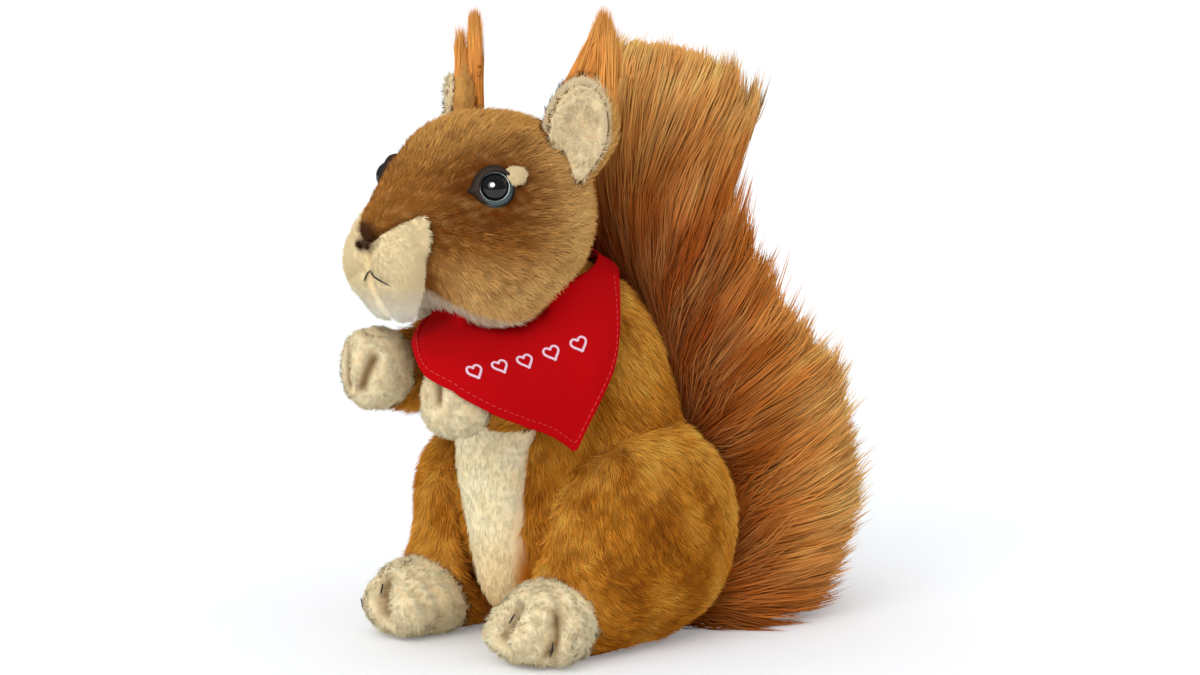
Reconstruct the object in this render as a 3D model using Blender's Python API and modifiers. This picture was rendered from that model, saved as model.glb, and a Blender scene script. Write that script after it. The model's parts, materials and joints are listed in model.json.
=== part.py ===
"""A seated plush squirrel with a long-pile tail and a cotton neckerchief.

The squirrel faces -Y, its own left side is +X, and it sits on z = 0. Lengths are in metres.
Each stuffed piece is a group of round lumps drawn together into one skin, as a filled plush bag is.
Where two pieces are sewn together, one takes the shape of the other, with a thin seam gap between them.
"""
import math

import bmesh
import bpy
from mathutils import Matrix, Vector
from mathutils.bvhtree import BVHTree

# Sewing
SEAM_GAP = 0.0003

# Torso: a broad seat, a chest that leans forward, and a neck
SEAT_WIDTH, SEAT_DEPTH, SEAT_HEIGHT = 0.098, 0.096, 0.104
SEAT_BACK, SEAT_RISE = 0.003, 0.0435
CHEST_WIDTH, CHEST_DEPTH, CHEST_HEIGHT = 0.080, 0.084, 0.092
CHEST_FORWARD, CHEST_RISE = 0.003, 0.098
NECK_WIDTH, NECK_DEPTH, NECK_HEIGHT = 0.064, 0.062, 0.050
NECK_FORWARD, NECK_RISE = 0.022, 0.128
TORSO_GRAIN = 0.0146

# Belly: a cream panel let into the front of the torso
BELLY_TOP_WIDTH, BELLY_WAIST_WIDTH, BELLY_FOOT_WIDTH, BELLY_DEPTH = 0.042, 0.033, 0.026, 0.030
BELLY_TOP_FORWARD, BELLY_TOP_RISE, BELLY_TOP_HEIGHT = 0.034, 0.088, 0.066
BELLY_WAIST_FORWARD, BELLY_WAIST_RISE, BELLY_WAIST_HEIGHT = 0.0355, 0.060, 0.060
BELLY_FOOT_FORWARD, BELLY_FOOT_RISE, BELLY_FOOT_HEIGHT = 0.036, 0.034, 0.070
BELLY_GRAIN = 0.0095

# Haunches: a thigh, and a shank that reaches forward to the hind foot
THIGH_WIDTH, THIGH_LENGTH, THIGH_HEIGHT = 0.056, 0.090, 0.089
THIGH_SPREAD, THIGH_BACK, THIGH_RISE = 0.033, 0.006, 0.0425
SHANK_WIDTH, SHANK_LENGTH, SHANK_HEIGHT = 0.040, 0.052, 0.040
SHANK_SPREAD, SHANK_FORWARD, SHANK_RISE = 0.035, 0.026, 0.016
HAUNCH_GRAIN = 0.0118

# Hind feet
FOOT_WIDTH, FOOT_LENGTH, FOOT_HEIGHT = 0.036, 0.043, 0.034
FOOT_SPREAD, FOOT_FORWARD, FOOT_RISE = 0.036, 0.041, 0.015
FOOT_TURN = 12
TOE_SIZE, TOE_SPACING, TOE_REACH = 0.0175, 0.0118, 0.0150
FOOT_GRAIN = 0.0058

# Arms and forepaws
ARM_WIDTH, ARM_SAG = 0.033, 0.005
SHOULDER_SPREAD, SHOULDER_FORWARD, SHOULDER_RISE = 0.030, 0.026, 0.106
WRIST_SPREAD, WRIST_FORWARD, WRIST_RISE = 0.024, 0.062, 0.099
PAW_WIDTH, PAW_LENGTH, PAW_HEIGHT = 0.029, 0.029, 0.033
PAW_SPREAD, PAW_FORWARD, PAW_RISE = 0.0220, 0.073, 0.100
RIGHT_ARM_LIFT = 0.005
FINGER_SIZE, FINGER_SPACING, FINGER_REACH = 0.013, 0.0092, 0.009
ARM_GRAIN, PAW_GRAIN = 0.0085, 0.0061

# Head: a round skull with full cheeks and a blunt snout
SKULL_WIDTH, SKULL_LENGTH, SKULL_HEIGHT = 0.084, 0.084, 0.079
SKULL_FORWARD, SKULL_RISE = 0.040, 0.161
CHEEK_SIZE, CHEEK_SPREAD, CHEEK_FORWARD, CHEEK_DROP = 0.052, 0.018, 0.012, 0.016
SNOUT_WIDTH, SNOUT_LENGTH, SNOUT_HEIGHT = 0.043, 0.060, 0.039
SNOUT_FORWARD, SNOUT_DROP, SNOUT_TILT = 0.031, -0.001, 14
NOSE_SIZE, NOSE_FORWARD, NOSE_DROP = 0.024, 0.053, 0.002
HEAD_GRAIN = 0.0102

# Muzzle: two cream panels let into the snout that meet on the centre seam, each with a lip above and a chin
# below. A panel ends at an upright seam behind, and above it at a seam that climbs from the nose to the side.
LIP_WIDTH, LIP_LENGTH, LIP_HEIGHT = 0.025, 0.025, 0.034
LIP_SPREAD, LIP_FORWARD, LIP_DROP = 0.0070, 0.0475, 0.014
CHIN_SIZE, CHIN_SPREAD, CHIN_FORWARD, CHIN_DROP = 0.025, 0.004, 0.040, 0.026
MUZZLE_PROUD, MUZZLE_SUNK = 0.0010, 0.0035
MUZZLE_BACK, MUZZLE_TOP_DROP, MUZZLE_TOP_CLIMB = 0.0435, 0.0085, 39
MUZZLE_GRAIN = 0.0055

# Eyes: a black dome on a ribbed stem, a grey iris ring, a washer behind the cloth and a dark upper lid
EYE_SIZE, EYE_DOME = 0.0096, 0.0040
EYE_SPREAD, EYE_FORWARD, EYE_RISE = 0.0375, 0.029, 0.0165
EYE_STEM, EYE_STEM_LENGTH = 0.0044, 0.0080
EYE_SINK = 0.0008
IRIS_SIZE, IRIS_RISE, IRIS_EDGE = 0.0132, 0.0016, 0.0004
WASHER_SIZE, WASHER_THICK, WASHER_DEPTH = 0.0110, 0.0012, 0.0034
LID_SIZE, LID_THICK, LID_OPENING, LID_SHIFT = 0.0168, 0.0044, 0.0144, 0.0021
PATCH_LENGTH, PATCH_WIDTH, PATCH_THICK = 0.0110, 0.0085, 0.0040
PATCH_BACK, PATCH_UP = 0.0085, 0.0040

# Ears: a dished leaf, a pale lining in the dish and a tuft of long hair behind the rim
EAR_WIDTH, EAR_HEIGHT, EAR_THICK = 0.030, 0.046, 0.014
EAR_SPREAD, EAR_FORWARD, EAR_RISE = 0.032, 0.024, 0.190
EAR_TURN, EAR_LEAN, EAR_TILT = 40, 3, 9
EAR_RIM, EAR_DISH, EAR_LINING = 0.003, 0.010, 0.0035
TUFT_HEIGHT, TUFT_SIZE, TUFT_DEPTH = 0.040, 0.018, 0.010
TUFT_RISE, TUFT_BACK = 0.007, 0.005

# Tail: stations up its height, each with the depth of its middle, its half width and its half depth
TAIL_STATIONS = (
    (0.000, 0.058, 0.046, 0.028),
    (0.012, 0.068, 0.051, 0.041),
    (0.040, 0.077, 0.053, 0.051),
    (0.074, 0.076, 0.052, 0.052),
    (0.108, 0.062, 0.046, 0.043),
    (0.138, 0.048, 0.039, 0.028),
    (0.164, 0.041, 0.036, 0.029),
    (0.186, 0.049, 0.034, 0.030),
    (0.202, 0.049, 0.028, 0.026),
    (0.212, 0.045, 0.020, 0.019),
    (0.217, 0.041, 0.009, 0.008),
)
TAIL_SIDES, TAIL_ROWS, TAIL_LOCK_ROWS, TAIL_LOCK_DEPTH = 20, 21, 3, 0.0050

# Neckerchief: its edge in degrees round the neck from the front to the left, and in degrees down from level
CLOTH_THICK, CLOTH_CLEARANCE = 0.0009, 0.0038
CLOTH_CENTRE_FORWARD, CLOTH_CENTRE_RISE = 0.018, 0.132
CLOTH_CORNER, CLOTH_TOP_FRONT, CLOTH_TOP_BACK = 67, 2, -28
CLOTH_EDGE = (
    (-180, 16), (-40, 14), (-12, 11), (8, 12), (26, 21), (48, 40), (67, 55), (95, 40), (122, 16), (180, 16)
)
CLOTH_SIDES, CLOTH_ROWS = 36, 4
CLOTH_HANG_SIZE = (0.060, 0.046, 0.032)
CLOTH_HANG_FORWARD, CLOTH_HANG_RISE = 0.056, 0.104

# Colours and finishes of the cloths, the hair, the eyes and the neckerchief
FINISHES = {
    "short_brown_plush": ((0.45, 0.22, 0.06), 0.95, 0.0),
    "long_russet_plush": ((0.52, 0.21, 0.05), 0.85, 0.0),
    "cream_plush": ((0.86, 0.72, 0.46), 0.95, 0.0),
    "sand_fleece": ((0.62, 0.50, 0.30), 1.0, 0.0),
    "black_glass": ((0.01, 0.01, 0.01), 0.08, 0.0),
    "grey_glass": ((0.16, 0.18, 0.18), 0.2, 0.0),
    "dark_felt": ((0.05, 0.025, 0.01), 0.9, 0.0),
    "white_plastic": ((0.80, 0.80, 0.78), 0.45, 0.0),
    "red_cotton": ((0.55, 0.0, 0.01), 0.85, 0.0),
}


def clear_scene():
    for item in list(bpy.data.objects):
        bpy.data.objects.remove(item)


def make_finishes():
    made = {}
    for name, (colour, roughness, metallic) in FINISHES.items():
        finish = bpy.data.materials.new(name)
        finish.use_nodes = True
        shader = finish.node_tree.nodes["Principled BSDF"]
        shader.inputs["Base Color"].default_value = (*colour, 1.0)
        shader.inputs["Roughness"].default_value = roughness
        shader.inputs["Metallic"].default_value = metallic
        made[name] = finish
    return made


# Working with solids


def new_solid(name, mesh):
    made = bpy.data.objects.new(name, mesh)
    bpy.context.scene.collection.objects.link(made)
    return made


def bake(solid):
    """Applies the modifiers that the solid has so far."""
    graph = bpy.context.evaluated_depsgraph_get()
    mesh = bpy.data.meshes.new_from_object(solid.evaluated_get(graph))
    solid.modifiers.clear()
    solid.data = mesh


def copied(solid, name):
    return new_solid(name, solid.data.copy())


def swollen(solid, by):
    """A copy of the solid with its surface moved out by that much, or in where it is negative."""
    made = copied(solid, "swollen_" + solid.name)
    swell = made.modifiers.new("swell", "DISPLACE")
    swell.mid_level = 0.0
    swell.strength = by
    bake(made)
    return made


def extent(mesh):
    """The volume of a mesh, whether it is closed, and its lowest and highest corners."""
    body = bmesh.new()
    body.from_mesh(mesh)
    volume, closed = body.calc_volume(signed=True), all(edge.is_manifold for edge in body.edges)
    body.free()
    places = [corner.co for corner in mesh.vertices] or [Vector()]
    low, high = (Vector([pick(place[i] for place in places) for i in range(3)]) for pick in (min, max))
    return volume, closed, low, high


def drop_offcuts(mesh):
    """Keeps only the largest of the separate bodies in a mesh."""
    body = bmesh.new()
    body.from_mesh(mesh)
    left, groups = set(body.verts), []
    while left:
        group, edge_of_group = set(), [left.pop()]
        while edge_of_group:
            corner = edge_of_group.pop()
            group.add(corner)
            for edge in corner.link_edges:
                other = edge.other_vert(corner)
                if other in left:
                    left.remove(other)
                    edge_of_group.append(other)
        groups.append(group)
    groups.sort(key=len)
    bmesh.ops.delete(body, geom=[corner for group in groups[:-1] for corner in group], context="VERTS")
    body.to_mesh(mesh)
    body.free()


def carve(solid, tool, operation="DIFFERENCE"):
    """Cuts the tool out of the solid, or keeps or adds it, and clears the tool away.

    A cut can't leave anything outside the solid's own box. Where the exact solver's answer breaks that,
    or isn't closed, or is all but empty, the manifold solver makes the cut.
    """
    before = solid.data
    volume, closed, low, high = extent(before)
    for solver in ("EXACT", "MANIFOLD"):
        solid.data = before
        step = solid.modifiers.new("carve", "BOOLEAN")
        step.operation, step.solver, step.object = operation, solver, tool
        bake(solid)
        left, closed, least, most = extent(solid.data)
        inside = all(least[i] > low[i] - 1e-6 and most[i] < high[i] + 1e-6 for i in range(3))
        if closed and left > 0.02 * volume and (inside or operation == "UNION"):
            break
    drop_offcuts(solid.data)
    bpy.data.objects.remove(tool)


def sew_to(solid, *neighbours):
    """Shapes the solid to each neighbour that it is sewn to, with the seam gap between them."""
    for neighbour in neighbours:
        carve(solid, swollen(neighbour, SEAM_GAP))


def slice_off(solid, point, normal):
    """Removes what lies behind the plane and closes the cut with a flat face."""
    mesh = bmesh.new()
    mesh.from_mesh(solid.data)
    everything = mesh.verts[:] + mesh.edges[:] + mesh.faces[:]
    cut = bmesh.ops.bisect_plane(
        mesh, geom=everything, dist=1e-7, plane_co=point, plane_no=normal, clear_inner=True
    )
    rim = [item for item in cut["geom_cut"] if isinstance(item, bmesh.types.BMEdge)]
    bmesh.ops.holes_fill(mesh, edges=rim, sides=0)
    bmesh.ops.recalc_face_normals(mesh, faces=mesh.faces)
    mesh.to_mesh(solid.data)
    mesh.free()


def set_down(solid):
    """Presses the solid flat where it rests on the floor."""
    slice_off(solid, (0, 0, 0), (0, 0, 1))


def mirrored(solid, name):
    made = copied(solid, name)
    made.data.transform(Matrix.Scale(-1, 4, (1, 0, 0)))
    made.data.flip_normals()
    return made


def joined(solids, name):
    mesh = bmesh.new()
    for solid in solids:
        mesh.from_mesh(solid.data)
        bpy.data.objects.remove(solid)
    made = bpy.data.meshes.new(name)
    mesh.to_mesh(made)
    mesh.free()
    return new_solid(name, made)


def lump(size, at, turn=(0, 0, 0), segments=32):
    """A round lump of filling of that width, depth and height, turned about X, then Y, then Z."""
    bpy.ops.mesh.primitive_uv_sphere_add(segments=segments, ring_count=segments * 5 // 8, radius=0.5)
    made = bpy.context.object
    made.data.transform(Matrix.Diagonal((*size, 1)))
    for angle, axis in zip(turn, "XYZ"):
        made.data.transform(Matrix.Rotation(math.radians(angle), 4, axis))
    made.data.transform(Matrix.Translation(Vector(at)))
    return made


def stuffed(name, lumps, grain, rounds=6):
    """A filled bag of cloth drawn over the lumps, with faces about as wide as the grain."""
    bag = joined(lumps, name)
    skin = bag.modifiers.new("skin", "REMESH")
    skin.mode = "VOXEL"
    skin.voxel_size = grain
    relax = bag.modifiers.new("relax", "SMOOTH")
    relax.factor = 0.5
    relax.iterations = rounds
    bag.modifiers.new("split", "TRIANGULATE")
    bake(bag)
    return bag


def welded(solid):
    """Joins the points that lie together and turns the faces to point out."""
    mesh = bmesh.new()
    mesh.from_mesh(solid.data)
    bmesh.ops.remove_doubles(mesh, verts=mesh.verts, dist=1e-6)
    bmesh.ops.recalc_face_normals(mesh, faces=mesh.faces)
    mesh.to_mesh(solid.data)
    mesh.free()
    return solid


def turned_shape(name, profile, steps):
    """A shape turned about Z from its (radius, height) points, from the top down its outer side."""
    mesh = bpy.data.meshes.new(name)
    points = [(radius, 0, height) for radius, height in profile]
    mesh.from_pydata(points, [(i, i + 1) for i in range(len(points) - 1)], [])
    made = new_solid(name, mesh)
    spin = made.modifiers.new("turn", "SCREW")
    spin.steps = spin.render_steps = steps
    spin.use_merge_vertices = True
    spin.merge_threshold = 1e-5
    bake(made)
    return welded(made)


# Torso, belly and limbs, made for the left side (+X) where there are two


def make_torso():
    seat = lump((SEAT_WIDTH, SEAT_DEPTH, SEAT_HEIGHT), (0, SEAT_BACK, SEAT_RISE))
    chest = lump((CHEST_WIDTH, CHEST_DEPTH, CHEST_HEIGHT), (0, -CHEST_FORWARD, CHEST_RISE))
    neck = lump((NECK_WIDTH, NECK_DEPTH, NECK_HEIGHT), (0, -NECK_FORWARD, NECK_RISE))
    torso = stuffed("torso", [seat, chest, neck], TORSO_GRAIN)
    set_down(torso)
    return torso


def make_belly():
    top = lump(
        (BELLY_TOP_WIDTH, BELLY_DEPTH, BELLY_TOP_HEIGHT), (0, -BELLY_TOP_FORWARD, BELLY_TOP_RISE)
    )
    waist = lump(
        (BELLY_WAIST_WIDTH, BELLY_DEPTH, BELLY_WAIST_HEIGHT), (0, -BELLY_WAIST_FORWARD, BELLY_WAIST_RISE)
    )
    foot = lump(
        (BELLY_FOOT_WIDTH, BELLY_DEPTH, BELLY_FOOT_HEIGHT), (0, -BELLY_FOOT_FORWARD, BELLY_FOOT_RISE)
    )
    return stuffed("belly_panel", [top, waist, foot], BELLY_GRAIN, 3)


def make_haunch():
    thigh = lump((THIGH_WIDTH, THIGH_LENGTH, THIGH_HEIGHT), (THIGH_SPREAD, THIGH_BACK, THIGH_RISE))
    shank = lump(
        (SHANK_WIDTH, SHANK_LENGTH, SHANK_HEIGHT), (SHANK_SPREAD, -SHANK_FORWARD, SHANK_RISE)
    )
    haunch = stuffed("haunch_left", [thigh, shank], HAUNCH_GRAIN)
    set_down(haunch)
    return haunch


def make_foot():
    lumps = [lump((FOOT_WIDTH, FOOT_LENGTH, FOOT_HEIGHT), (0, 0, 0))]
    for i in (-1, 0, 1):
        place = (i * TOE_SPACING, -TOE_REACH * (1 if i == 0 else 0.8), -TOE_SIZE * 0.15)
        lumps.append(lump((TOE_SIZE, TOE_SIZE, TOE_SIZE * 1.3), place))
    foot = stuffed("hind_foot_left", lumps, FOOT_GRAIN, 2)
    foot.data.transform(Matrix.Rotation(math.radians(FOOT_TURN), 4, "Z"))
    foot.data.transform(Matrix.Translation((FOOT_SPREAD, -FOOT_FORWARD, FOOT_RISE)))
    set_down(foot)
    return foot


def make_arm(lift):
    shoulder = Vector((SHOULDER_SPREAD, -SHOULDER_FORWARD, SHOULDER_RISE))
    wrist = Vector((WRIST_SPREAD, -WRIST_FORWARD, WRIST_RISE + lift))
    sag = Vector((0, 0, ARM_SAG))
    lumps = [
        lump((ARM_WIDTH * (1 - 0.2 * t),) * 3, shoulder.lerp(wrist, t) - sag * math.sin(math.pi * t))
        for t in (0, 0.25, 0.5, 0.75, 1)
    ]
    return stuffed("arm_left", lumps, ARM_GRAIN)


def make_paw(lift):
    centre = Vector((PAW_SPREAD, -PAW_FORWARD, PAW_RISE + lift))
    lumps = [lump((PAW_WIDTH, PAW_LENGTH, PAW_HEIGHT), centre)]
    for i in (-1, 0, 1):
        place = centre + Vector((0, -FINGER_REACH, i * FINGER_SPACING))
        lumps.append(lump((FINGER_SIZE * 1.4, FINGER_SIZE, FINGER_SIZE), place))
    return stuffed("forepaw_left", lumps, PAW_GRAIN, 3)


# Head


def make_head():
    centre = Vector((0, -SKULL_FORWARD, SKULL_RISE))
    cheeks = [
        lump((CHEEK_SIZE,) * 3, centre + Vector((side * CHEEK_SPREAD, -CHEEK_FORWARD, -CHEEK_DROP)))
        for side in (-1, 1)
    ]
    skull = lump((SKULL_WIDTH, SKULL_LENGTH, SKULL_HEIGHT), centre)
    snout = lump(
        (SNOUT_WIDTH, SNOUT_LENGTH, SNOUT_HEIGHT),
        centre + Vector((0, -SNOUT_FORWARD, -SNOUT_DROP)),
        (SNOUT_TILT, 0, 0),
    )
    nose = lump((NOSE_SIZE,) * 3, centre + Vector((0, -NOSE_FORWARD, -NOSE_DROP)))
    return stuffed("head", [skull, snout, nose, *cheeks], HEAD_GRAIN), centre


def make_muzzle(head, centre):
    """The left half of the muzzle. The right half is its mirror image across the centre seam."""
    lip_at = centre + Vector((LIP_SPREAD, -LIP_FORWARD, -LIP_DROP))
    lip = lump((LIP_WIDTH, LIP_LENGTH, LIP_HEIGHT), lip_at)
    chin = lump((CHIN_SIZE,) * 3, centre + Vector((CHIN_SPREAD, -CHIN_FORWARD, -CHIN_DROP)))
    half = stuffed("muzzle_left", [lip, chin], MUZZLE_GRAIN, 4)
    carve(half, swollen(head, MUZZLE_PROUD), "UNION")
    climb = math.radians(MUZZLE_TOP_CLIMB)
    slice_off(half, centre - Vector((0, MUZZLE_BACK, 0)), (0, -1, 0))
    slice_off(half, (SEAM_GAP / 2, 0, 0), (1, 0, 0))
    slice_off(half, centre - Vector((0, 0, MUZZLE_TOP_DROP)), (math.sin(climb), 0, -math.cos(climb)))
    carve(half, swollen(head, -MUZZLE_SUNK))
    return half


def seat_on(skin, near):
    """The place and direction of a piece that sits on the skin at its point nearest to near."""
    found, point, normal, face = skin.closest_point_on_mesh(Vector(near))
    return Matrix.Translation(point) @ normal.to_track_quat("Z", "Y").to_matrix().to_4x4()


def ring_profile(inner, outer, inner_top, outer_top, under):
    corners = [(inner, inner_top), (outer, outer_top), (outer, under), (inner, under)]
    return [*corners, corners[0]]


def make_eye(place):
    """The left eye, its iris ring, the washer inside the head, and the socket that they need in it."""
    radius, stem = EYE_SIZE / 2, EYE_STEM / 2
    turns = [math.radians(a) for a in (0, 25, 50, 72, 90)]
    dome = [(radius * math.sin(turn), EYE_DOME * math.cos(turn)) for turn in turns]
    back = [(radius, -0.0004), (stem, -0.0004), (stem, -EYE_STEM_LENGTH), (0, -EYE_STEM_LENGTH)]
    under, over = -WASHER_DEPTH - WASHER_THICK, -WASHER_DEPTH
    eye = turned_shape("eye_left", [*dome, *back], 12)
    iris = turned_shape(
        "iris_left",
        ring_profile(radius + SEAM_GAP, IRIS_SIZE / 2, IRIS_RISE, IRIS_EDGE, -0.0008),
        12,
    )
    washer = turned_shape(
        "eye_washer_left", ring_profile(stem + SEAM_GAP, WASHER_SIZE / 2, over, over, under), 10
    )
    cup, bore, pocket = (half + SEAM_GAP for half in (IRIS_SIZE / 2, stem, WASHER_SIZE / 2))
    socket = turned_shape(
        "socket",
        [(0, 0.004), (cup, 0.004), (cup, -0.0008 - SEAM_GAP), (bore, -0.0008 - SEAM_GAP)]
        + [(bore, over + SEAM_GAP), (pocket, over + SEAM_GAP), (pocket, under - SEAM_GAP)]
        + [(bore, under - SEAM_GAP), (bore, -EYE_STEM_LENGTH - SEAM_GAP), (0, -EYE_STEM_LENGTH - SEAM_GAP)],
        12,
    )
    for solid in (eye, iris, washer, socket):
        solid.data.transform(place @ Matrix.Translation((0, 0, -EYE_SINK)))
    return [eye, iris, washer], socket


def make_eye_trim(skin, place):
    """A dark crescent over the top and the front of the left eye, and the pale patch behind the eye."""
    lid = lump((LID_SIZE, LID_SIZE, LID_THICK), (0, 0, 0), segments=11)
    half = LID_OPENING / 2
    opening = turned_shape("opening", [(0, 0.02), (half, 0.02), (half, -0.02), (0, -0.02)], 12)
    lid.data.transform(place)
    out, back = place.to_3x3() @ Vector((0, 0, 1)), Vector((0, 1, 0))
    back = (back - out * back.dot(out)).normalized()
    down = back.cross(out)
    down = down if down.z < 0 else -down
    opening.data.transform(Matrix.Translation((back * 0.6 + down * 0.8) * LID_SHIFT) @ place)
    carve(lid, opening)
    patch = lump((PATCH_WIDTH, PATCH_LENGTH, PATCH_THICK), (0, 0, 0), segments=8)
    patch.data.transform(seat_on(skin, place.translation + back * PATCH_BACK - down * PATCH_UP))
    lid.name, patch.name = "eyelid_left", "eye_patch_left"
    return lid, patch


def make_ear():
    """The left ear's leaf with its dish, and the lining in the dish."""
    size = Vector((EAR_WIDTH, EAR_THICK, EAR_HEIGHT))
    front = -EAR_THICK / 2
    wide, tall = EAR_WIDTH - 2 * EAR_RIM, EAR_HEIGHT - 2 * EAR_RIM
    ear = lump(size, (0, 0, 0), segments=14)
    dish = Vector((wide, EAR_DISH * 2, tall))
    lining = lump(dish - Vector((2 * SEAM_GAP,) * 3), (0, front, 0), segments=12)
    dish = lump(dish, (0, front, 0), segments=12)
    hollow = (wide * 0.7, (EAR_DISH - EAR_LINING) * 2, tall * 0.75)
    hollow = lump(hollow, (0, front * 1.15, 0), segments=10)
    ear.name, lining.name = "ear_left", "ear_lining_left"
    leaf = copied(ear, "leaf")
    carve(ear, dish)
    carve(lining, copied(leaf, "leaf"), "INTERSECT")
    carve(lining, hollow)
    turn = Matrix.Rotation(math.radians(EAR_TURN), 4, "Z") @ Matrix.Rotation(math.radians(EAR_TILT), 4, "Y")
    lean = Matrix.Rotation(math.radians(-EAR_LEAN), 4, "X")
    place = Matrix.Translation((EAR_SPREAD, -EAR_FORWARD, EAR_RISE)) @ turn @ lean
    for solid in (ear, lining, leaf):
        for corner in solid.data.vertices:
            if corner.co.z < 0:
                corner.co.x *= 1 + 0.9 * corner.co.z / EAR_HEIGHT
        solid.data.transform(place)
    return ear, lining, leaf, place


def make_tuft(place):
    """A fan of three spikes of long hair behind the top of the ear."""
    fan = None
    for across, tall, stout in ((0.0, 1.0, 0.44), (0.26, 0.84, 0.34), (-0.24, 0.78, 0.34)):
        height, radius = TUFT_HEIGHT * tall, TUFT_SIZE * stout
        profile = [(0, height), (radius * 0.42, height * 0.68), (radius * 0.85, height * 0.34)]
        profile += [(radius, height * 0.06), (0, -height * 0.15)]
        spike = turned_shape("ear_tuft_left", profile, 8)
        flat = Matrix.Diagonal((1, TUFT_DEPTH / TUFT_SIZE, 1, 1))
        slant = Matrix.Rotation(math.radians(across * 26), 4, "Y")
        spike.data.transform(Matrix.Translation((across * TUFT_SIZE, 0, 0)) @ slant @ flat)
        if fan is None:
            fan = spike
        else:
            carve(fan, spike, "UNION")
    fan.data.transform(place @ Matrix.Translation((0, TUFT_BACK, TUFT_RISE)))
    return fan


def between(stations, t):
    """A smooth run through the stations, with t from 0 to one less than their number."""
    i = min(int(t), len(stations) - 2)
    f = t - i
    first, last = max(i - 1, 0), min(i + 2, len(stations) - 1)
    run = zip(stations[first], stations[i], stations[i + 1], stations[last])
    return [
        b + 0.5 * f * (c - a + f * (2 * a - 5 * b + 4 * c - d + f * (3 * (b - c) + d - a)))
        for a, b, c, d in run
    ]


def closed_body(name, rings):
    """A body through rings of points, closed with a flat face at each end."""
    count = len(rings[0])
    points = [point for ring in rings for point in ring]
    faces = [tuple(reversed(range(count))), tuple(range(len(points) - count, len(points)))]
    for i in range(len(rings) - 1):
        for j in range(count):
            k = (j + 1) % count
            faces.append((i * count + j, i * count + k, (i + 1) * count + k, (i + 1) * count + j))
    mesh = bpy.data.meshes.new(name)
    mesh.from_pydata(points, [], faces)
    return new_solid(name, mesh)


def make_tail():
    """A tall plume whose hair lies in overlapping locks that point up and out."""
    rings = []
    for row in range(TAIL_ROWS):
        share = row / (TAIL_ROWS - 1)
        height, back, wide, deep = between(TAIL_STATIONS, share * (len(TAIL_STATIONS) - 1))
        ring = []
        for side in range(TAIL_SIDES):
            angle = 2 * math.pi * side / TAIL_SIDES
            lock = (row + side // 2 * 1.5) % TAIL_LOCK_ROWS / TAIL_LOCK_ROWS - 0.5
            lift = TAIL_LOCK_DEPTH * lock * min(1, 4 * share, 6 * (1 - share))
            ring.append(
                (math.sin(angle) * (wide + lift), back - math.cos(angle) * (deep + lift), height + lift)
            )
        rings.append(ring)
    return closed_body("tail", rings)


def run_of(marks, angle):
    """The value at that angle on a straight run through (angle, value) marks."""
    for (a, low), (b, high) in zip(marks, marks[1:]):
        if a <= angle <= b:
            return low + (high - low) * (angle - a) / (b - a)


def make_kerchief(form):
    """A triangular cloth round the neck that lies on the form, with its corner over the left forepaw."""
    skin = BVHTree.FromObject(form, bpy.context.evaluated_depsgraph_get())
    centre = Vector((0, -CLOTH_CENTRE_FORWARD, CLOTH_CENTRE_RISE))
    angles = [(CLOTH_CORNER + 360 * side / CLOTH_SIDES + 180) % 360 - 180 for side in range(CLOTH_SIDES)]
    turns = [math.radians(angle) for angle in angles]
    levels = [Vector((math.sin(turn), -math.cos(turn), 0)) for turn in turns]
    outs, reaches = [], []
    for turn, level in zip(turns, levels):
        front = 0.5 + 0.5 * math.cos(turn)
        top = CLOTH_TOP_BACK + (CLOTH_TOP_FRONT - CLOTH_TOP_BACK) * front
        drop = run_of(CLOTH_EDGE, math.degrees(turn))
        dips = [math.radians(top + drop * row / CLOTH_ROWS) for row in range(CLOTH_ROWS + 1)]
        outs.append([level - Vector((0, 0, math.tan(dip))) for dip in dips])
        hits = [skin.ray_cast(centre + out * 0.2, -out)[0] for out in outs[-1]]
        found = [(hit - centre).dot(level) for hit in hits]
        reaches.append([max(found[:row + 1]) for row in range(CLOTH_ROWS + 1)])
    points, faces = [], []
    for row in range(CLOTH_ROWS + 1):
        for side in range(CLOTH_SIDES):
            beside = [reaches[(side + step) % CLOTH_SIDES][row] for step in (0, -1, 1)]
            points.append(centre + outs[side][row] * (0.5 * beside[0] + 0.5 * max(beside)))
    for row in range(CLOTH_ROWS):
        for side in range(CLOTH_SIDES):
            here, after = row * CLOTH_SIDES + side, row * CLOTH_SIDES + (side + 1) % CLOTH_SIDES
            faces.append((here, here + CLOTH_SIDES, after + CLOTH_SIDES, after))
    mesh = bpy.data.meshes.new("neckerchief")
    mesh.from_pydata(points, [], faces)
    kerchief = new_solid("neckerchief", mesh)
    kerchief.modifiers.new("split", "TRIANGULATE")
    layer = kerchief.modifiers.new("layer", "SOLIDIFY")
    layer.thickness = CLOTH_THICK
    layer.offset = 1
    bake(kerchief)
    return welded(kerchief)


def make_form(pieces):
    """What the neckerchief lies on: the body under it, and the air between the forearms that it spans."""
    span = lump(CLOTH_HANG_SIZE, (0, -CLOTH_HANG_FORWARD, CLOTH_HANG_RISE))
    form = stuffed("form", [*(copied(piece, "under") for piece in pieces), span], 0.006, 8)
    raised = swollen(form, CLOTH_CLEARANCE)
    bpy.data.objects.remove(form)
    return raised


def stand_at_centre(pieces):
    """Moves the squirrel so that the middle of its length and width is over the origin."""
    corners = [corner.co for piece in pieces for corner in piece.data.vertices]
    middle = [(min(c[i] for c in corners) + max(c[i] for c in corners)) / 2 for i in (0, 1)]
    for piece in pieces:
        piece.data.transform(Matrix.Translation((-middle[0], -middle[1], 0)))


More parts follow.
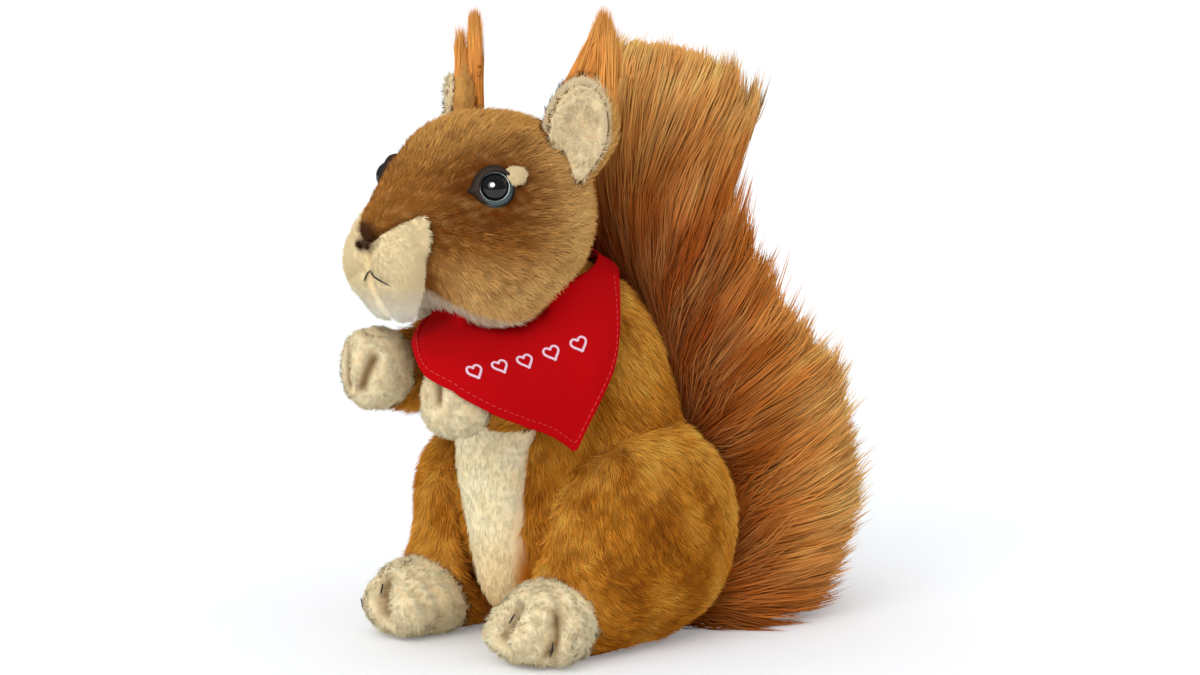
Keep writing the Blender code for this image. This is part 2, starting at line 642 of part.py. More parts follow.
def present(pieces):
    """Shades the pieces smooth and hangs them under one empty, in a collection of their own."""
    squirrel = bpy.data.collections.new("plush_squirrel")
    bpy.context.scene.collection.children.link(squirrel)
    root = bpy.data.objects.new("squirrel", None)
    squirrel.objects.link(root)
    for piece in pieces:
        piece.data.shade_smooth()
        piece.data.set_sharp_from_angle(angle=math.radians(50))
        piece.parent = root
        for collection in list(piece.users_collection):
            collection.objects.unlink(piece)
        squirrel.objects.link(piece)


def main():
    clear_scene()
    finishes = make_finishes()
    head, centre = make_head()
    torso, belly, haunch = make_torso(), make_belly(), make_haunch()
    arms = [make_arm(0), make_arm(RIGHT_ARM_LIFT)]
    paws = [make_paw(0), make_paw(RIGHT_ARM_LIFT)]
    form = make_form([torso, belly, haunch, *arms, *paws])
    kerchief = make_kerchief(form)
    bpy.data.objects.remove(form)

    eye_place = seat_on(head, centre + Vector((EYE_SPREAD, -EYE_FORWARD, EYE_RISE)))
    eye_parts, socket = make_eye(eye_place)
    lid, patch = make_eye_trim(head, eye_place)
    for piece in (lid, patch):
        sew_to(piece, head, *eye_parts[:2])
    sew_to(patch, lid)
    muzzle = make_muzzle(head, centre)
    far_muzzle = mirrored(muzzle, "far_muzzle")
    ear, ear_lining, leaf, ear_place = make_ear()
    tuft = make_tuft(ear_place)
    sew_to(tuft, leaf, head)
    bpy.data.objects.remove(leaf)
    sew_to(ear, head)
    sew_to(ear_lining, head)

    foot = make_foot()
    sew_to(foot, haunch)
    tail = make_tail()
    far_haunch = mirrored(haunch, "far_haunch")
    sew_to(tail, torso, haunch, far_haunch)
    bpy.data.objects.remove(far_haunch)
    for arm, paw in zip(arms, paws):
        sew_to(paw, arm, head)
        sew_to(arm, belly, torso, head)
    sew_to(haunch, torso, belly)
    sew_to(torso, head, belly)
    carve(kerchief, swollen(head, 0.001))
    far_socket = mirrored(socket, "far_socket")
    carve(head, socket)
    carve(head, far_socket)
    sew_to(head, muzzle, far_muzzle)
    bpy.data.objects.remove(far_muzzle)

    far_arm, far_paw = mirrored(arms[1], "arm_right"), mirrored(paws[1], "forepaw_right")
    for solid in (arms[1], paws[1]):
        bpy.data.objects.remove(solid)
    looks = {
        "short_brown_plush": [head, torso, haunch, arms[0], far_arm, ear],
        "long_russet_plush": [tail, tuft],
        "cream_plush": [muzzle, belly, patch],
        "sand_fleece": [foot, paws[0], far_paw, ear_lining],
        "black_glass": [eye_parts[0]],
        "grey_glass": [eye_parts[1]],
        "white_plastic": [eye_parts[2]],
        "dark_felt": [lid],
        "red_cotton": [kerchief],
    }
    pieces = []
    for name, solids in looks.items():
        for solid in solids:
            solid.data.materials.clear()
            solid.data.materials.append(finishes[name])
            pieces.append(solid)
            if solid.name.endswith("_left") and solid not in (arms[0], paws[0]):
                pieces.append(mirrored(solid, solid.name.replace("_left", "_right")))
    stand_at_centre(pieces)
    present(pieces)


main()
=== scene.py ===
import json
import math

import bmesh
import bpy
import numpy as np
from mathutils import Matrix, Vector
from mathutils.bvhtree import BVHTree
from mathutils.kdtree import KDTree

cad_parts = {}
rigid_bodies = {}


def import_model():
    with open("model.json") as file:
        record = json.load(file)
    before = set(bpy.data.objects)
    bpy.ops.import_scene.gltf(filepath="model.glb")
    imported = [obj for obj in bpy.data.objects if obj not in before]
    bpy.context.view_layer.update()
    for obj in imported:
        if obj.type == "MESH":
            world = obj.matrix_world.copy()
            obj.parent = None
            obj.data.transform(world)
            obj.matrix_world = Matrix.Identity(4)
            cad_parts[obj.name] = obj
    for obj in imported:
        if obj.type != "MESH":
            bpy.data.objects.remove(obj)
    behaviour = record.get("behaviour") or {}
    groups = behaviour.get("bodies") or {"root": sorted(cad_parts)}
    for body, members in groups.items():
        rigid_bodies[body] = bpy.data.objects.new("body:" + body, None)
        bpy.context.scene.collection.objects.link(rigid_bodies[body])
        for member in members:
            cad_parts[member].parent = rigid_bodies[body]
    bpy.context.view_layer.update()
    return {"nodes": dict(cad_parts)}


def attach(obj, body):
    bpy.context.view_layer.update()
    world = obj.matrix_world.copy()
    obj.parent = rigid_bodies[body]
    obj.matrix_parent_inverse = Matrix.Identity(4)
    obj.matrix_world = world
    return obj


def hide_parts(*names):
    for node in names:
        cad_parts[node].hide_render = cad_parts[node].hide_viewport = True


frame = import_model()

# Studio
# A white floor that runs back into a white background, soft light from above and from the camera's left, and
# one round lamp above the camera that only puts the spark in the eyes. The camera stands at the squirrel's
# left front, and the squirrel's middle stands 36 pixels left of the picture's middle and 24 above it.
for item in bpy.context.scene.objects:
    item.select_set(False)
bpy.context.scene.view_settings.view_transform = "Standard"
azimuth, elevation, distance = math.radians(47), math.radians(8), 1.6
photo_width, sensor_width, seen_width = 1200, 36, 0.4444
target = Vector((0, -0.0155, 0.12))
level = math.cos(elevation)
away = Vector((math.sin(azimuth) * level, -math.cos(azimuth) * level, math.sin(elevation)))
lens = bpy.data.cameras.new("camera")
camera = bpy.data.objects.new("camera", lens)
bpy.context.scene.collection.objects.link(camera)
bpy.context.scene.camera = camera
camera.location = target + away * distance
camera.rotation_euler = (-away).to_track_quat("-Z", "Y").to_euler()
lens.sensor_width = sensor_width
lens.lens = sensor_width * distance / seen_width
lens.shift_x = 36 / photo_width
lens.shift_y = -(337.5 - 313.6) / photo_width

bpy.ops.mesh.primitive_plane_add(size=6, location=(0, 0, 0))
floor = bpy.context.object
floor.name = "floor"
floor_paint = bpy.data.materials.new("white floor")
floor_paint.use_nodes = True
nodes, links = floor_paint.node_tree.nodes, floor_paint.node_tree.links
nodes["Principled BSDF"].inputs["Base Color"].default_value = (0.83, 0.86, 0.895, 1)
nodes["Principled BSDF"].inputs["Roughness"].default_value = 0.8
nodes["Principled BSDF"].inputs["Specular IOR Level"].default_value = 0.1
lift, both, path = (nodes.new("ShaderNode" + kind) for kind in ("Emission", "AddShader", "LightPath"))
strength = nodes.new("ShaderNodeMath")
strength.operation = "MULTIPLY"
strength.inputs[1].default_value = 0.19
links.new(path.outputs["Is Camera Ray"], strength.inputs[0])
links.new(strength.outputs[0], lift.inputs["Strength"])
links.new(nodes["Principled BSDF"].outputs[0], both.inputs[0])
links.new(lift.outputs[0], both.inputs[1])
links.new(both.outputs[0], nodes["Material Output"].inputs["Surface"])
floor.data.materials.append(floor_paint)

world = bpy.data.worlds.new("studio")
bpy.context.scene.world = world
world.use_nodes = True
nodes, links = world.node_tree.nodes, world.node_tree.links
air = nodes["Background"]
white, choice, path = (nodes.new("ShaderNode" + kind) for kind in ("Background", "MixShader", "LightPath"))
air.inputs["Color"].default_value = (1, 1, 1, 1)
white.inputs["Color"].default_value = (1, 1, 1, 1)
white.inputs["Strength"].default_value = 1.0
dimmer = nodes.new("ShaderNodeMapRange")
dimmer.inputs["To Min"].default_value = 0.88
dimmer.inputs["To Max"].default_value = 0.22
links.new(path.outputs["Is Glossy Ray"], dimmer.inputs["Value"])
links.new(dimmer.outputs[0], air.inputs["Strength"])
links.new(path.outputs["Is Camera Ray"], choice.inputs[0])
links.new(air.outputs[0], choice.inputs[1])
links.new(white.outputs[0], choice.inputs[2])
links.new(choice.outputs[0], nodes["World Output"].inputs["Surface"])


def lamp(name, kind, place, energy, **settings):
    """A lamp that shines from that place towards the squirrel's middle."""
    light = bpy.data.lights.new(name, kind)
    light.energy = energy
    for setting, value in settings.items():
        setattr(light, setting, value)
    holder = bpy.data.objects.new(name, light)
    bpy.context.scene.collection.objects.link(holder)
    holder.location = target + Vector(place)
    holder.rotation_euler = Vector(place).to_track_quat("Z", "Y").to_euler()
    return holder


lamp("key", "SUN", (0.35, -0.85, 0.55), 1.1, angle=math.radians(45))
spark = lamp("spark", "AREA", (0.52, -0.74, 0.60), 24.0, shape="DISK", size=0.60)
spark.visible_diffuse = False


# Neckerchief
# One triangle of plain-woven red cotton, folded round the neck with its corner hanging over the left forepaw.
# Its lower edge is turned under and stitched, and small hearts are printed in a row where the front lies flat.
def run_of(marks, angle):
    """The value at that angle on a straight run through (angle, value) marks."""
    for (a, low), (b, high) in zip(marks, marks[1:]):
        if a <= angle <= b:
            return low + (high - low) * (angle - a) / (b - a)


def unit(vectors):
    """Vectors brought to length one."""
    return vectors / np.maximum(np.linalg.norm(vectors, axis=-1, keepdims=True), 1e-12)


def new_piece(name, points, faces):
    """A piece from its points and faces, on the squirrel's one body."""
    mesh = bpy.data.meshes.new(name)
    mesh.from_pydata([tuple(point) for point in points], [], faces)
    mesh.validate()
    piece = bpy.data.objects.new(name, mesh)
    bpy.context.scene.collection.objects.link(piece)
    mesh.shade_smooth()
    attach(piece, "root")
    return piece


def finish_for(name, colour, roughness, **sockets):
    """A material with those values on its shader."""
    made = bpy.data.materials.new(name)
    made.use_nodes = True
    shader = made.node_tree.nodes["Principled BSDF"]
    shader.inputs["Base Color"].default_value = (*colour, 1)
    shader.inputs["Roughness"].default_value = roughness
    for socket, value in sockets.items():
        shader.inputs[socket.replace("_", " ")].default_value = value
    return made


def surface_of(piece):
    """The piece's faces, ready for rays and for nearest points."""
    return BVHTree.FromObject(piece, bpy.context.evaluated_depsgraph_get())


cloth_centre = Vector((0, -0.0335, 0.132))
cloth_edge = (
    (-180, 16), (-40, 14), (-12, 8.8), (8, 9), (26, 19.4), (48, 40), (67, 55), (95, 40), (122, 16), (180, 16)
)
cloth_columns, cloth_rows, cloth_thick = 180, 25, 0.0008
cad_faces = {name: surface_of(solid) for name, solid in frame["nodes"].items()}
reach = np.full((cloth_columns, cloth_rows), np.nan)
rays = np.zeros((cloth_columns, cloth_rows, 3))
for i in range(cloth_columns):
    angle = -180 + 360 * i / cloth_columns
    turn = math.radians(angle)
    level = Vector((math.sin(turn), -math.cos(turn), 0))
    top = -28 + 30 * (0.5 + 0.5 * math.cos(turn)) + 3 * math.exp(-((angle - 2) / 30) ** 2)
    for j in range(cloth_rows):
        dip = math.radians(top + run_of(cloth_edge, angle) * 0.988 * j / (cloth_rows - 1))
        ray = level - Vector((0, 0, math.tan(dip)))
        rays[i, j] = ray
        hit = cad_faces["neckerchief"].ray_cast(cloth_centre + ray * 0.2, -ray)[0]
        if hit is not None:
            reach[i, j] = (hit - cloth_centre).dot(level)
for i in range(cloth_columns):
    known = np.flatnonzero(~np.isnan(reach[i]))
    if len(known):
        reach[i] = np.interp(np.arange(cloth_rows), known, reach[i, known])
blank = [i for i in range(cloth_columns) if np.isnan(reach[i]).any()]
full = [i for i in range(cloth_columns) if i not in blank]
for j in range(cloth_rows):
    reach[blank, j] = np.interp(blank, full, reach[full, j])
least = reach.copy()
for step in range(30):
    side = 0.5 * (np.roll(reach, 1, 0) + np.roll(reach, -1, 0))
    reach = 0.5 * reach + 0.5 * side
    reach[:, 1:-1] = 0.5 * reach[:, 1:-1] + 0.25 * (reach[:, 2:] + reach[:, :-2])
    reach = np.maximum(reach, least + (0.0004 if step < 28 else 0.0))
cloth = np.array(cloth_centre) + rays * reach[..., None]
hem_marks = np.array((0, 0.4, 1.1, 1.9, 2.6, 3.1, 3.4, 4.4)) / 1000
rows = []
for column in cloth[:, ::-1]:
    run = np.concatenate([[0], np.cumsum(np.linalg.norm(np.diff(column, axis=0), axis=1))])
    marks = np.concatenate([hem_marks, np.linspace(hem_marks[-1], max(run[-1], 0.008), 16)[1:]])
    rows.append(np.stack([np.interp(marks, run, column[:, axis]) for axis in range(3)], axis=1))
cloth = np.array(rows)
around = unit(np.roll(cloth, -1, 0) - np.roll(cloth, 1, 0))
upward = unit(np.gradient(cloth, axis=1))
cloth_normal = unit(np.cross(around, upward))
ripples = np.sin(np.arange(cloth_columns) * 2 * np.pi * 7 / cloth_columns)
wave = 0.0005 * ripples[:, None] * np.linspace(0, 1, cloth.shape[1])
hem = np.array([0.00045] * 6 + [0.0001] + [0.0] * (cloth.shape[1] - 7))
cloth = cloth + cloth_normal * (hem[None, :] + wave)[..., None]
count, last = cloth_columns, cloth.shape[1]
outer = cloth.reshape(-1, 3)
inner = (cloth - cloth_normal * cloth_thick).reshape(-1, 3)
points = np.concatenate([outer, inner])
faces = []
for i in range(count):
    k = (i + 1) % count
    for j in range(last - 1):
        a, b, c, d = i * last + j, k * last + j, k * last + j + 1, i * last + j + 1
        faces.append((a, b, c, d))
        faces.append((d + len(outer), c + len(outer), b + len(outer), a + len(outer)))
    for j in (0, last - 1):
        a, b = i * last + j, k * last + j
        rim = (a, a + len(outer), b + len(outer), b)
        faces.append(rim if j == 0 else tuple(reversed(rim)))
neckerchief = new_piece("neckerchief_cloth", points, faces)
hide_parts("neckerchief")
cloth_uv = neckerchief.data.uv_layers.new(name="cut")
once_round = 0.36
along = np.arange(count + 1) * once_round / count
spots = np.zeros((len(points), 2))
for i in range(count):
    run = np.concatenate([[0], np.cumsum(np.linalg.norm(np.diff(cloth[i], axis=0), axis=1))])
    spots[i * last:(i + 1) * last] = np.stack([np.full(last, along[i]), run], axis=1)
spots[len(outer):] = spots[:len(outer)]
cloth_uv.data.foreach_set("uv", spots[[loop.vertex_index for loop in neckerchief.data.loops]].ravel())
red = finish_for("red cotton", (0.46, 0.0, 0.002), 0.9, Specular_IOR_Level=0.04)
nodes, links = red.node_tree.nodes, red.node_tree.links
place = nodes.new("ShaderNodeTexCoord")
warp, weft = nodes.new("ShaderNodeTexWave"), nodes.new("ShaderNodeTexWave")
for yarn, direction in ((warp, "X"), (weft, "Y")):
    yarn.bands_direction = direction
    yarn.inputs["Scale"].default_value = 560
    yarn.inputs["Distortion"].default_value = 1.2
    yarn.inputs["Detail Scale"].default_value = 2
    links.new(place.outputs["UV"], yarn.inputs["Vector"])
cross, bump = nodes.new("ShaderNodeMath"), nodes.new("ShaderNodeBump")
cross.operation = "MAXIMUM"
links.new(warp.outputs["Fac"], cross.inputs[0])
links.new(weft.outputs["Fac"], cross.inputs[1])
bump.inputs["Strength"].default_value = 0.25
bump.inputs["Distance"].default_value = 0.0002
links.new(cross.outputs[0], bump.inputs["Height"])
links.new(bump.outputs[0], nodes["Principled BSDF"].inputs["Normal"])
neckerchief.data.materials.append(red)
cloth_surface = surface_of(neckerchief)


def threads(name, paths, radius, finish, corners=6):
    """Round threads along the paths, each closed at both ends, as one piece."""
    points, faces = [], []
    for path in paths:
        path = np.array(path)
        run = unit(np.gradient(path, axis=0))
        side = unit(np.cross(run, (0.3, 0.2, 0.9)))
        lift = np.cross(run, side)
        first = len(points)
        for j, (spot, across, over) in enumerate(zip(path, side, lift)):
            slim = radius * (0.55 if j in (0, len(path) - 1) else 1.0)
            for k in range(corners):
                turn = 2 * math.pi * k / corners
                points.append(spot + (across * math.cos(turn) + over * math.sin(turn)) * slim)
        for j in range(len(path) - 1):
            for k in range(corners):
                a, b = first + j * corners + k, first + j * corners + (k + 1) % corners
                faces.append((a, b, b + corners, a + corners))
        faces.append(tuple(first + k for k in reversed(range(corners))))
        faces.append(tuple(first + (len(path) - 1) * corners + k for k in range(corners)))
    piece = new_piece(name, points, faces)
    piece.data.materials.append(finish)
    return piece


hem_line = cloth[:, 5] + cloth_normal[:, 5] * 0.0001
angles = np.linspace(-180, 180, cloth_columns, endpoint=False)
shown = hem_line[(angles > -34) & (angles < 124)]
length_so_far = np.concatenate([[0], np.cumsum(np.linalg.norm(np.diff(shown, axis=0), axis=1))])
stitches = []
for start in np.arange(0.0, length_so_far[-1] - 0.002, 0.0026):
    spots = np.linspace(start, start + 0.0017, 5)
    stitches.append(np.stack([np.interp(spots, length_so_far, shown[:, axis]) for axis in range(3)], axis=1))
red_thread = finish_for("red thread", (0.72, 0.03, 0.04), 0.7, Specular_IOR_Level=0.2)
threads("hem_stitches", stitches, 0.00016, red_thread)

hearts = []
for share in (0, 0.25, 0.5, 0.75, 1):
    middle = Vector((0.0344, -0.0905, 0.1103)).lerp(Vector((0.0408, -0.0462, 0.1161)), share)
    spot, facing = cloth_surface.find_nearest(middle)[:2]
    facing = (facing * 0.6 + away * 0.4).normalized()
    right = Vector((0.64, 4.43, 0.95))
    right = (right - facing * right.dot(facing)).normalized()
    upright = facing.cross(right)
    outline = []
    for turn in np.linspace(0.1, 2 * math.pi - 0.1, 34):
        across = 16 * math.sin(turn) ** 3
        rise = 13 * math.cos(turn) - 5 * math.cos(2 * turn) - 2 * math.cos(3 * turn) - math.cos(4 * turn)
        above = spot + (right * across + upright * rise) * 0.00019 + facing * 0.01
        hit = cloth_surface.ray_cast(above, -facing)[0]
        outline.append(hit + facing * 0.0001)
    hearts.append(outline)
pink_thread = finish_for("pink thread", (0.80, 0.56, 0.67), 0.8, Specular_IOR_Level=0.1)
threads("printed_hearts", hearts, 0.00048, pink_thread)


# Head
# A round bag of golden-brown plush, with full cheeks and a blunt snout that ends in a dark airbrushed nose.
# The nap is brushed back from the nose, and it is palest on the crown and on the cheeks.
def gap_to(points, paths):
    """How far each point is from the nearest of the paths, in metres."""
    gaps = np.full(len(points), 1.0)
    for path in paths:
        for a, b in zip(np.array(path)[:-1], np.array(path)[1:]):
            along = np.clip((points - a) @ (b - a) / ((b - a) @ (b - a)), 0, 1)
            gaps = np.minimum(gaps, np.linalg.norm(points - a - along[:, None] * (b - a), axis=1))
    return gaps


def places(mesh, field="co"):
    """The mesh's points, or their normals, as an array."""
    values = np.empty(len(mesh.vertices) * 3)
    mesh.vertices.foreach_get(field, values)
    return values.reshape(-1, 3)


def stuffed_skin(name, node, plush, grain=0.0024, rounds=12, swell=0.0006, stitched=(),
                 depth=0.0022, reach=0.0022, blown=0.0):
    """A bag of plush in the place of the frame's solid, smoothed and drawn in that deep along its stitches.

    Where blown is given, a Cloth simulation fills the bag out, and no point moves further than that.
    """
    slot, ground, _ = plush
    skin = bpy.data.objects.new(name, frame["nodes"][node].data.copy())
    skin.data.materials.clear()
    bpy.context.scene.collection.objects.link(skin)
    mesh = bmesh.new()
    mesh.from_mesh(skin.data)
    bmesh.ops.remove_doubles(mesh, verts=mesh.verts, dist=1e-5)
    mesh.to_mesh(skin.data)
    mesh.free()
    weave = skin.modifiers.new("weave", "REMESH")
    weave.mode = "VOXEL"
    weave.voxel_size = grain
    relax = skin.modifiers.new("relax", "SMOOTH")
    relax.factor = 0.5
    relax.iterations = rounds
    puff = skin.modifiers.new("puff", "DISPLACE")
    puff.mid_level = 0
    puff.strength = swell
    bpy.context.view_layer.objects.active = skin
    for step in list(skin.modifiers):
        bpy.ops.object.modifier_apply(modifier=step.name)
    spots, normals = places(skin.data), places(skin.data, "normal")
    gaps = gap_to(spots, stitched)
    drawn = spots - normals * (depth * np.exp(-(gaps / reach) ** 2))[:, None]
    drawn[:, 2] = np.maximum(drawn[:, 2], 0.0001)
    skin.data.vertices.foreach_set("co", drawn.ravel())
    if blown:
        low = drawn[:, 2] < drawn[:, 2].min() + 0.002
        held = [int(i) for i in np.flatnonzero(low | (gaps < reach))]
        pins = skin.vertex_groups.new(name="held")
        pins.add(held, 1.0, "REPLACE")
        filling = skin.modifiers.new("filling", "CLOTH")
        filling.settings.vertex_group_mass = "held"
        filling.settings.use_pressure = True
        filling.settings.uniform_pressure_force = 4
        filling.settings.effector_weights.gravity = 0
        for moment in range(1, 21):
            bpy.context.scene.frame_set(moment)
        bpy.ops.object.modifier_apply(modifier="filling")
        bpy.context.scene.frame_set(1)
        skin.vertex_groups.clear()
        moved = places(skin.data) - drawn
        far = np.maximum(np.linalg.norm(moved, axis=1, keepdims=True), 1e-9)
        drawn = drawn + moved * np.minimum(1, blown / far)
        drawn[:, 2] = np.maximum(drawn[:, 2], 0.0001)
        skin.data.vertices.foreach_set("co", drawn.ravel())
    skin.data.update()
    skin.data.shade_smooth()
    skin.data.materials.append(ground)
    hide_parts(node)
    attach(skin, "root")
    return skin


def reshape(skin, change):
    """Move the skin's points to the places that change(points, normals) gives."""
    moved = change(places(skin.data), places(skin.data, "normal"))
    moved[:, 2] = np.maximum(moved[:, 2], 0.0001)
    skin.data.vertices.foreach_set("co", moved.ravel())
    skin.data.update()


def drift(points, size, seed):
    """A soft random value from about -1 to 1 that changes over that many metres."""
    rng = np.random.default_rng(seed)
    waves = unit(rng.normal(size=(9, 3))) * rng.uniform(0.6, 1.5, (9, 1)) * 2 * np.pi / size
    return np.sin(points @ waves.T + rng.uniform(0, 6.3, 9)).mean(axis=1) * 2


def swirl(points, size, seed):
    """A soft random direction at each point that changes over that many metres."""
    return np.stack([drift(points, size, seed + axis) for axis in range(3)], axis=1)


def near(points, at, radius):
    """One at the place, falling softly to nothing at about twice the radius."""
    return np.exp(-(((points - np.array(at)) / np.array(radius)) ** 2).sum(axis=1))


def ramp(values, low, high):
    """Nought at low, one at high, straight in between."""
    return np.clip((values - low) / (high - low), 0, 1)


def blend(base, *layers):
    """The base colour with (colour, share of it at each point) layers over it."""
    made = np.array(base)[None, :]
    for colour, share in layers:
        share = np.clip(share, 0, 1)[:, None]
        made = made * (1 - share) + np.array(colour)[None, :] * share
    return made


def pile(skin, name, plush, count, length, width, lean, flow, tint, joints=1, locks=((0.004, 0.5),),
         jitter=0.25, sink=0.0006, keep=None, rough=(0.12, 0.12), soften=0.65, hug=0.0, free=False, beside=(),
         seed=1):
    """Tapered hairs that stand in the skin and lie along flow, drawn together at the tips in small locks.

    Hairs rooted inside the solids named in beside are left out, and hairs that meet the neckerchief are cut
    short or left out. The first pile on a skin also tints the ground under it.
    """
    slot, _, finish = plush
    rng = np.random.default_rng(seed)
    mesh = skin.data
    mesh.calc_loop_triangles()
    verts, normals = places(mesh), places(mesh, "normal")
    # The ground takes the hairs' tint three tenths of the way up, with that share of their painted shade at
    # the roots.
    if "tint" not in mesh.color_attributes:
        ground = np.ones((len(verts), 4), dtype=np.float32)
        ground[:, :3] = np.clip(tint(verts, normals, 0.3), 0, 1)
        mesh.color_attributes.new("tint", "FLOAT_COLOR", "POINT").data.foreach_set("color", ground.ravel())
    corners = np.empty(len(mesh.loop_triangles) * 3, dtype=np.int64)
    mesh.loop_triangles.foreach_get("vertices", corners)
    corners = corners.reshape(-1, 3)
    sides = verts[corners[:, 1]] - verts[corners[:, 0]], verts[corners[:, 2]] - verts[corners[:, 0]]
    area = np.linalg.norm(np.cross(*sides), axis=1)
    pick = rng.choice(len(corners), size=count, p=area / area.sum())
    share = rng.random((count, 2))
    share[share.sum(axis=1) > 1] = 1 - share[share.sum(axis=1) > 1]
    share = np.concatenate([1 - share.sum(axis=1, keepdims=True), share], axis=1)[..., None]
    root = (verts[corners[pick]] * share).sum(axis=1)
    out = unit((normals[corners[pick]] * share).sum(axis=1))
    mask = np.ones(count, dtype=bool) if keep is None else keep(root, out)
    for node in beside:
        body, solid = cad_faces[node], places(frame["nodes"][node].data)
        low, high = solid.min(axis=0) - 0.001, solid.max(axis=0) + 0.001
        for s in np.flatnonzero(mask & (root > low).all(axis=1) & (root < high).all(axis=1)):
            spot, facing = body.find_nearest(Vector(root[s] + out[s] * 0.0008))[:2]
            if facing.dot(Vector(root[s] + out[s] * 0.0008) - spot) < 0:
                mask[s] = False
    root, out = root[mask], out[mask]
    n = len(root)
    lay = flow(root, out) + jitter * rng.normal(size=(n, 3))
    lay = unit(lay - out * (0 if free else 1) * (lay * out).sum(axis=1, keepdims=True))
    tall = (length(root, out) if callable(length) else np.full(n, length)) * rng.uniform(0.7, 1.15, n)
    rise = np.radians((lean(root, out) if callable(lean) else np.full(n, lean)) * rng.uniform(0.6, 1.35, n))
    line = np.zeros((n, joints + 1, 3))
    line[:, 0] = root - out * sink
    ahead = surface_of(skin) if hug else None
    for j in range(1, joints + 1):
        t = j / joints
        if hug:
            turn = flow(line[:, j - 1], out)
            turn = unit(turn - out * (turn * out).sum(axis=1, keepdims=True))
            lay = unit(0.5 * lay + 0.5 * turn + jitter * 0.3 * rng.normal(size=(n, 3)))
        stretch = (tall / joints)[:, None]
        line[:, j] = line[:, j - 1] + stretch * (lay * np.cos(rise)[:, None] + out * np.sin(rise)[:, None])
        if hug:
            height = tall * np.sin(rise) * t
            for s in range(n):
                spot, facing = ahead.find_nearest(Vector(line[s, j]))[:2]
                held = np.array(spot) + np.array(facing) * height[s]
                line[s, j] = line[s, j] * (1 - hug) + held * hug
    tone = 1 + rough[1] * rng.normal(size=n)
    for spacing, pull in locks:
        wanted = int(area.sum() / 2 / spacing ** 2 * n / count)
        heads = rng.choice(n, size=min(max(wanted, 4), n), replace=False)
        tree = KDTree(len(heads))
        for i, s in enumerate(heads):
            tree.insert(Vector(root[s]), i)
        tree.balance()
        lock = np.array([tree.find(Vector(spot))[1] for spot in root])
        toward_tip = np.linspace(0, 1, joints + 1)[None, :, None] ** 1.3
        hold = pull * rng.uniform(0.5, 1, n)[:, None, None] * toward_tip
        line = line + (line[heads[lock]] - line) * hold
        tone = tone + rough[0] * rng.normal(size=len(heads))[lock] / len(locks) ** 0.5
    tone = np.clip(tone, 0.45, 1.7)
    line[:, 1:, 2] = np.maximum(line[:, 1:, 2], 0.0004)
    good = np.ones(n, dtype=bool)
    for s in range(n):
        start, end = Vector(root[s] + out[s] * 0.0002), Vector(line[s, -1])
        hit = cloth_surface.ray_cast(start, end - start, (end - start).length)
        if hit[0] is not None:
            part = hit[3] / max((end - start).length, 1e-9)
            if part < 0.4:
                good[s] = False
            else:
                line[s, 1:] = line[s, :1] + (line[s, 1:] - line[s, :1]) * part * 0.85
    line, root, out, tone = line[good], root[good], out[good], tone[good]
    n = len(root)
    if free:
        out = np.tile(unit(np.array((0.5, -0.65, 0.55))), (n, 1))
    points, glow, shades = [], [], []
    for j in range(joints + 1):
        t = j / joints
        after, before = line[:, min(j + 1, joints)], line[:, max(j - 1, 0)]
        run = unit(after - before)
        across = unit(np.cross(run, out))
        over = np.cross(across, run)
        colour = np.clip(tint(line[:, j], out, t) * tone[:, None], 0, 1)
        if j == joints:
            points.append(line[:, j][:, None, :])
            glow.append(unit(out * soften + over * (1 - soften))[:, None, :])
            shades.append(colour[:, None, :])
            continue
        wide = width * (1.0 if j == 0 else 1.15 - 0.6 * t)
        for angle in (90, 210, 330):
            spoke = across * math.cos(math.radians(angle)) + over * math.sin(math.radians(angle)) * 0.8
            points.append((line[:, j] + spoke * wide)[:, None, :])
            glow.append(unit(out * soften + spoke * (1 - soften))[:, None, :])
            shades.append(colour[:, None, :])
    points, glow, shades = (np.concatenate(part, axis=1) for part in (points, glow, shades))
    points[..., 2] = np.maximum(points[..., 2], 0.0001)
    each = joints * 3 + 1
    one = []
    for j in range(joints - 1):
        for a in range(3):
            b = (a + 1) % 3
            one += [(3 * j + b, 3 * j + a, 3 * j + 3 + b), (3 * j + 3 + b, 3 * j + a, 3 * j + 3 + a)]
    for a in range(3):
        one.append((3 * joints - 3 + (a + 1) % 3, 3 * joints - 3 + a, 3 * joints))
    faces = (np.array(one)[None] + (np.arange(n) * each)[:, None, None]).reshape(-1, 3)
    hairs = bpy.data.meshes.new(name)
    hairs.vertices.add(n * each)
    hairs.vertices.foreach_set("co", points.astype(np.float32).ravel())
    hairs.loops.add(len(faces) * 3)
    hairs.loops.foreach_set("vertex_index", faces.astype(np.int32).ravel())
    hairs.polygons.add(len(faces))
    hairs.polygons.foreach_set("loop_start", np.arange(0, len(faces) * 3, 3, dtype=np.int32))
    hairs.update(calc_edges=True)
    colours = hairs.color_attributes.new("tint", "FLOAT_COLOR", "POINT")
    shades = np.concatenate([shades.reshape(-1, 3), np.ones((n * each, 1))], axis=1)
    colours.data.foreach_set("color", shades.astype(np.float32).ravel())
    hairs.shade_smooth()
    hairs.normals_split_custom_set_from_vertices(glow.reshape(-1, 3))
    piece = bpy.data.objects.new(name, hairs)
    bpy.context.scene.collection.objects.link(piece)
    hairs.materials.append(finish)
    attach(piece, "root")
    return piece


def hair_finish(name, roughness, sheen, sheen_colour):
    """Hair that takes its colour from its own tint, with a soft sheen."""
    made = finish_for(name, (0.5, 0.5, 0.5), roughness, Specular_IOR_Level=0.06, Sheen_Weight=sheen)
    shader = made.node_tree.nodes["Principled BSDF"]
    shader.inputs["Sheen Tint"].default_value = (*sheen_colour, 1)
    shader.inputs["Sheen Roughness"].default_value = 0.5
    source = made.node_tree.nodes.new("ShaderNodeAttribute")
    source.attribute_name = "tint"
    made.node_tree.links.new(source.outputs["Color"], shader.inputs["Base Color"])
    return made


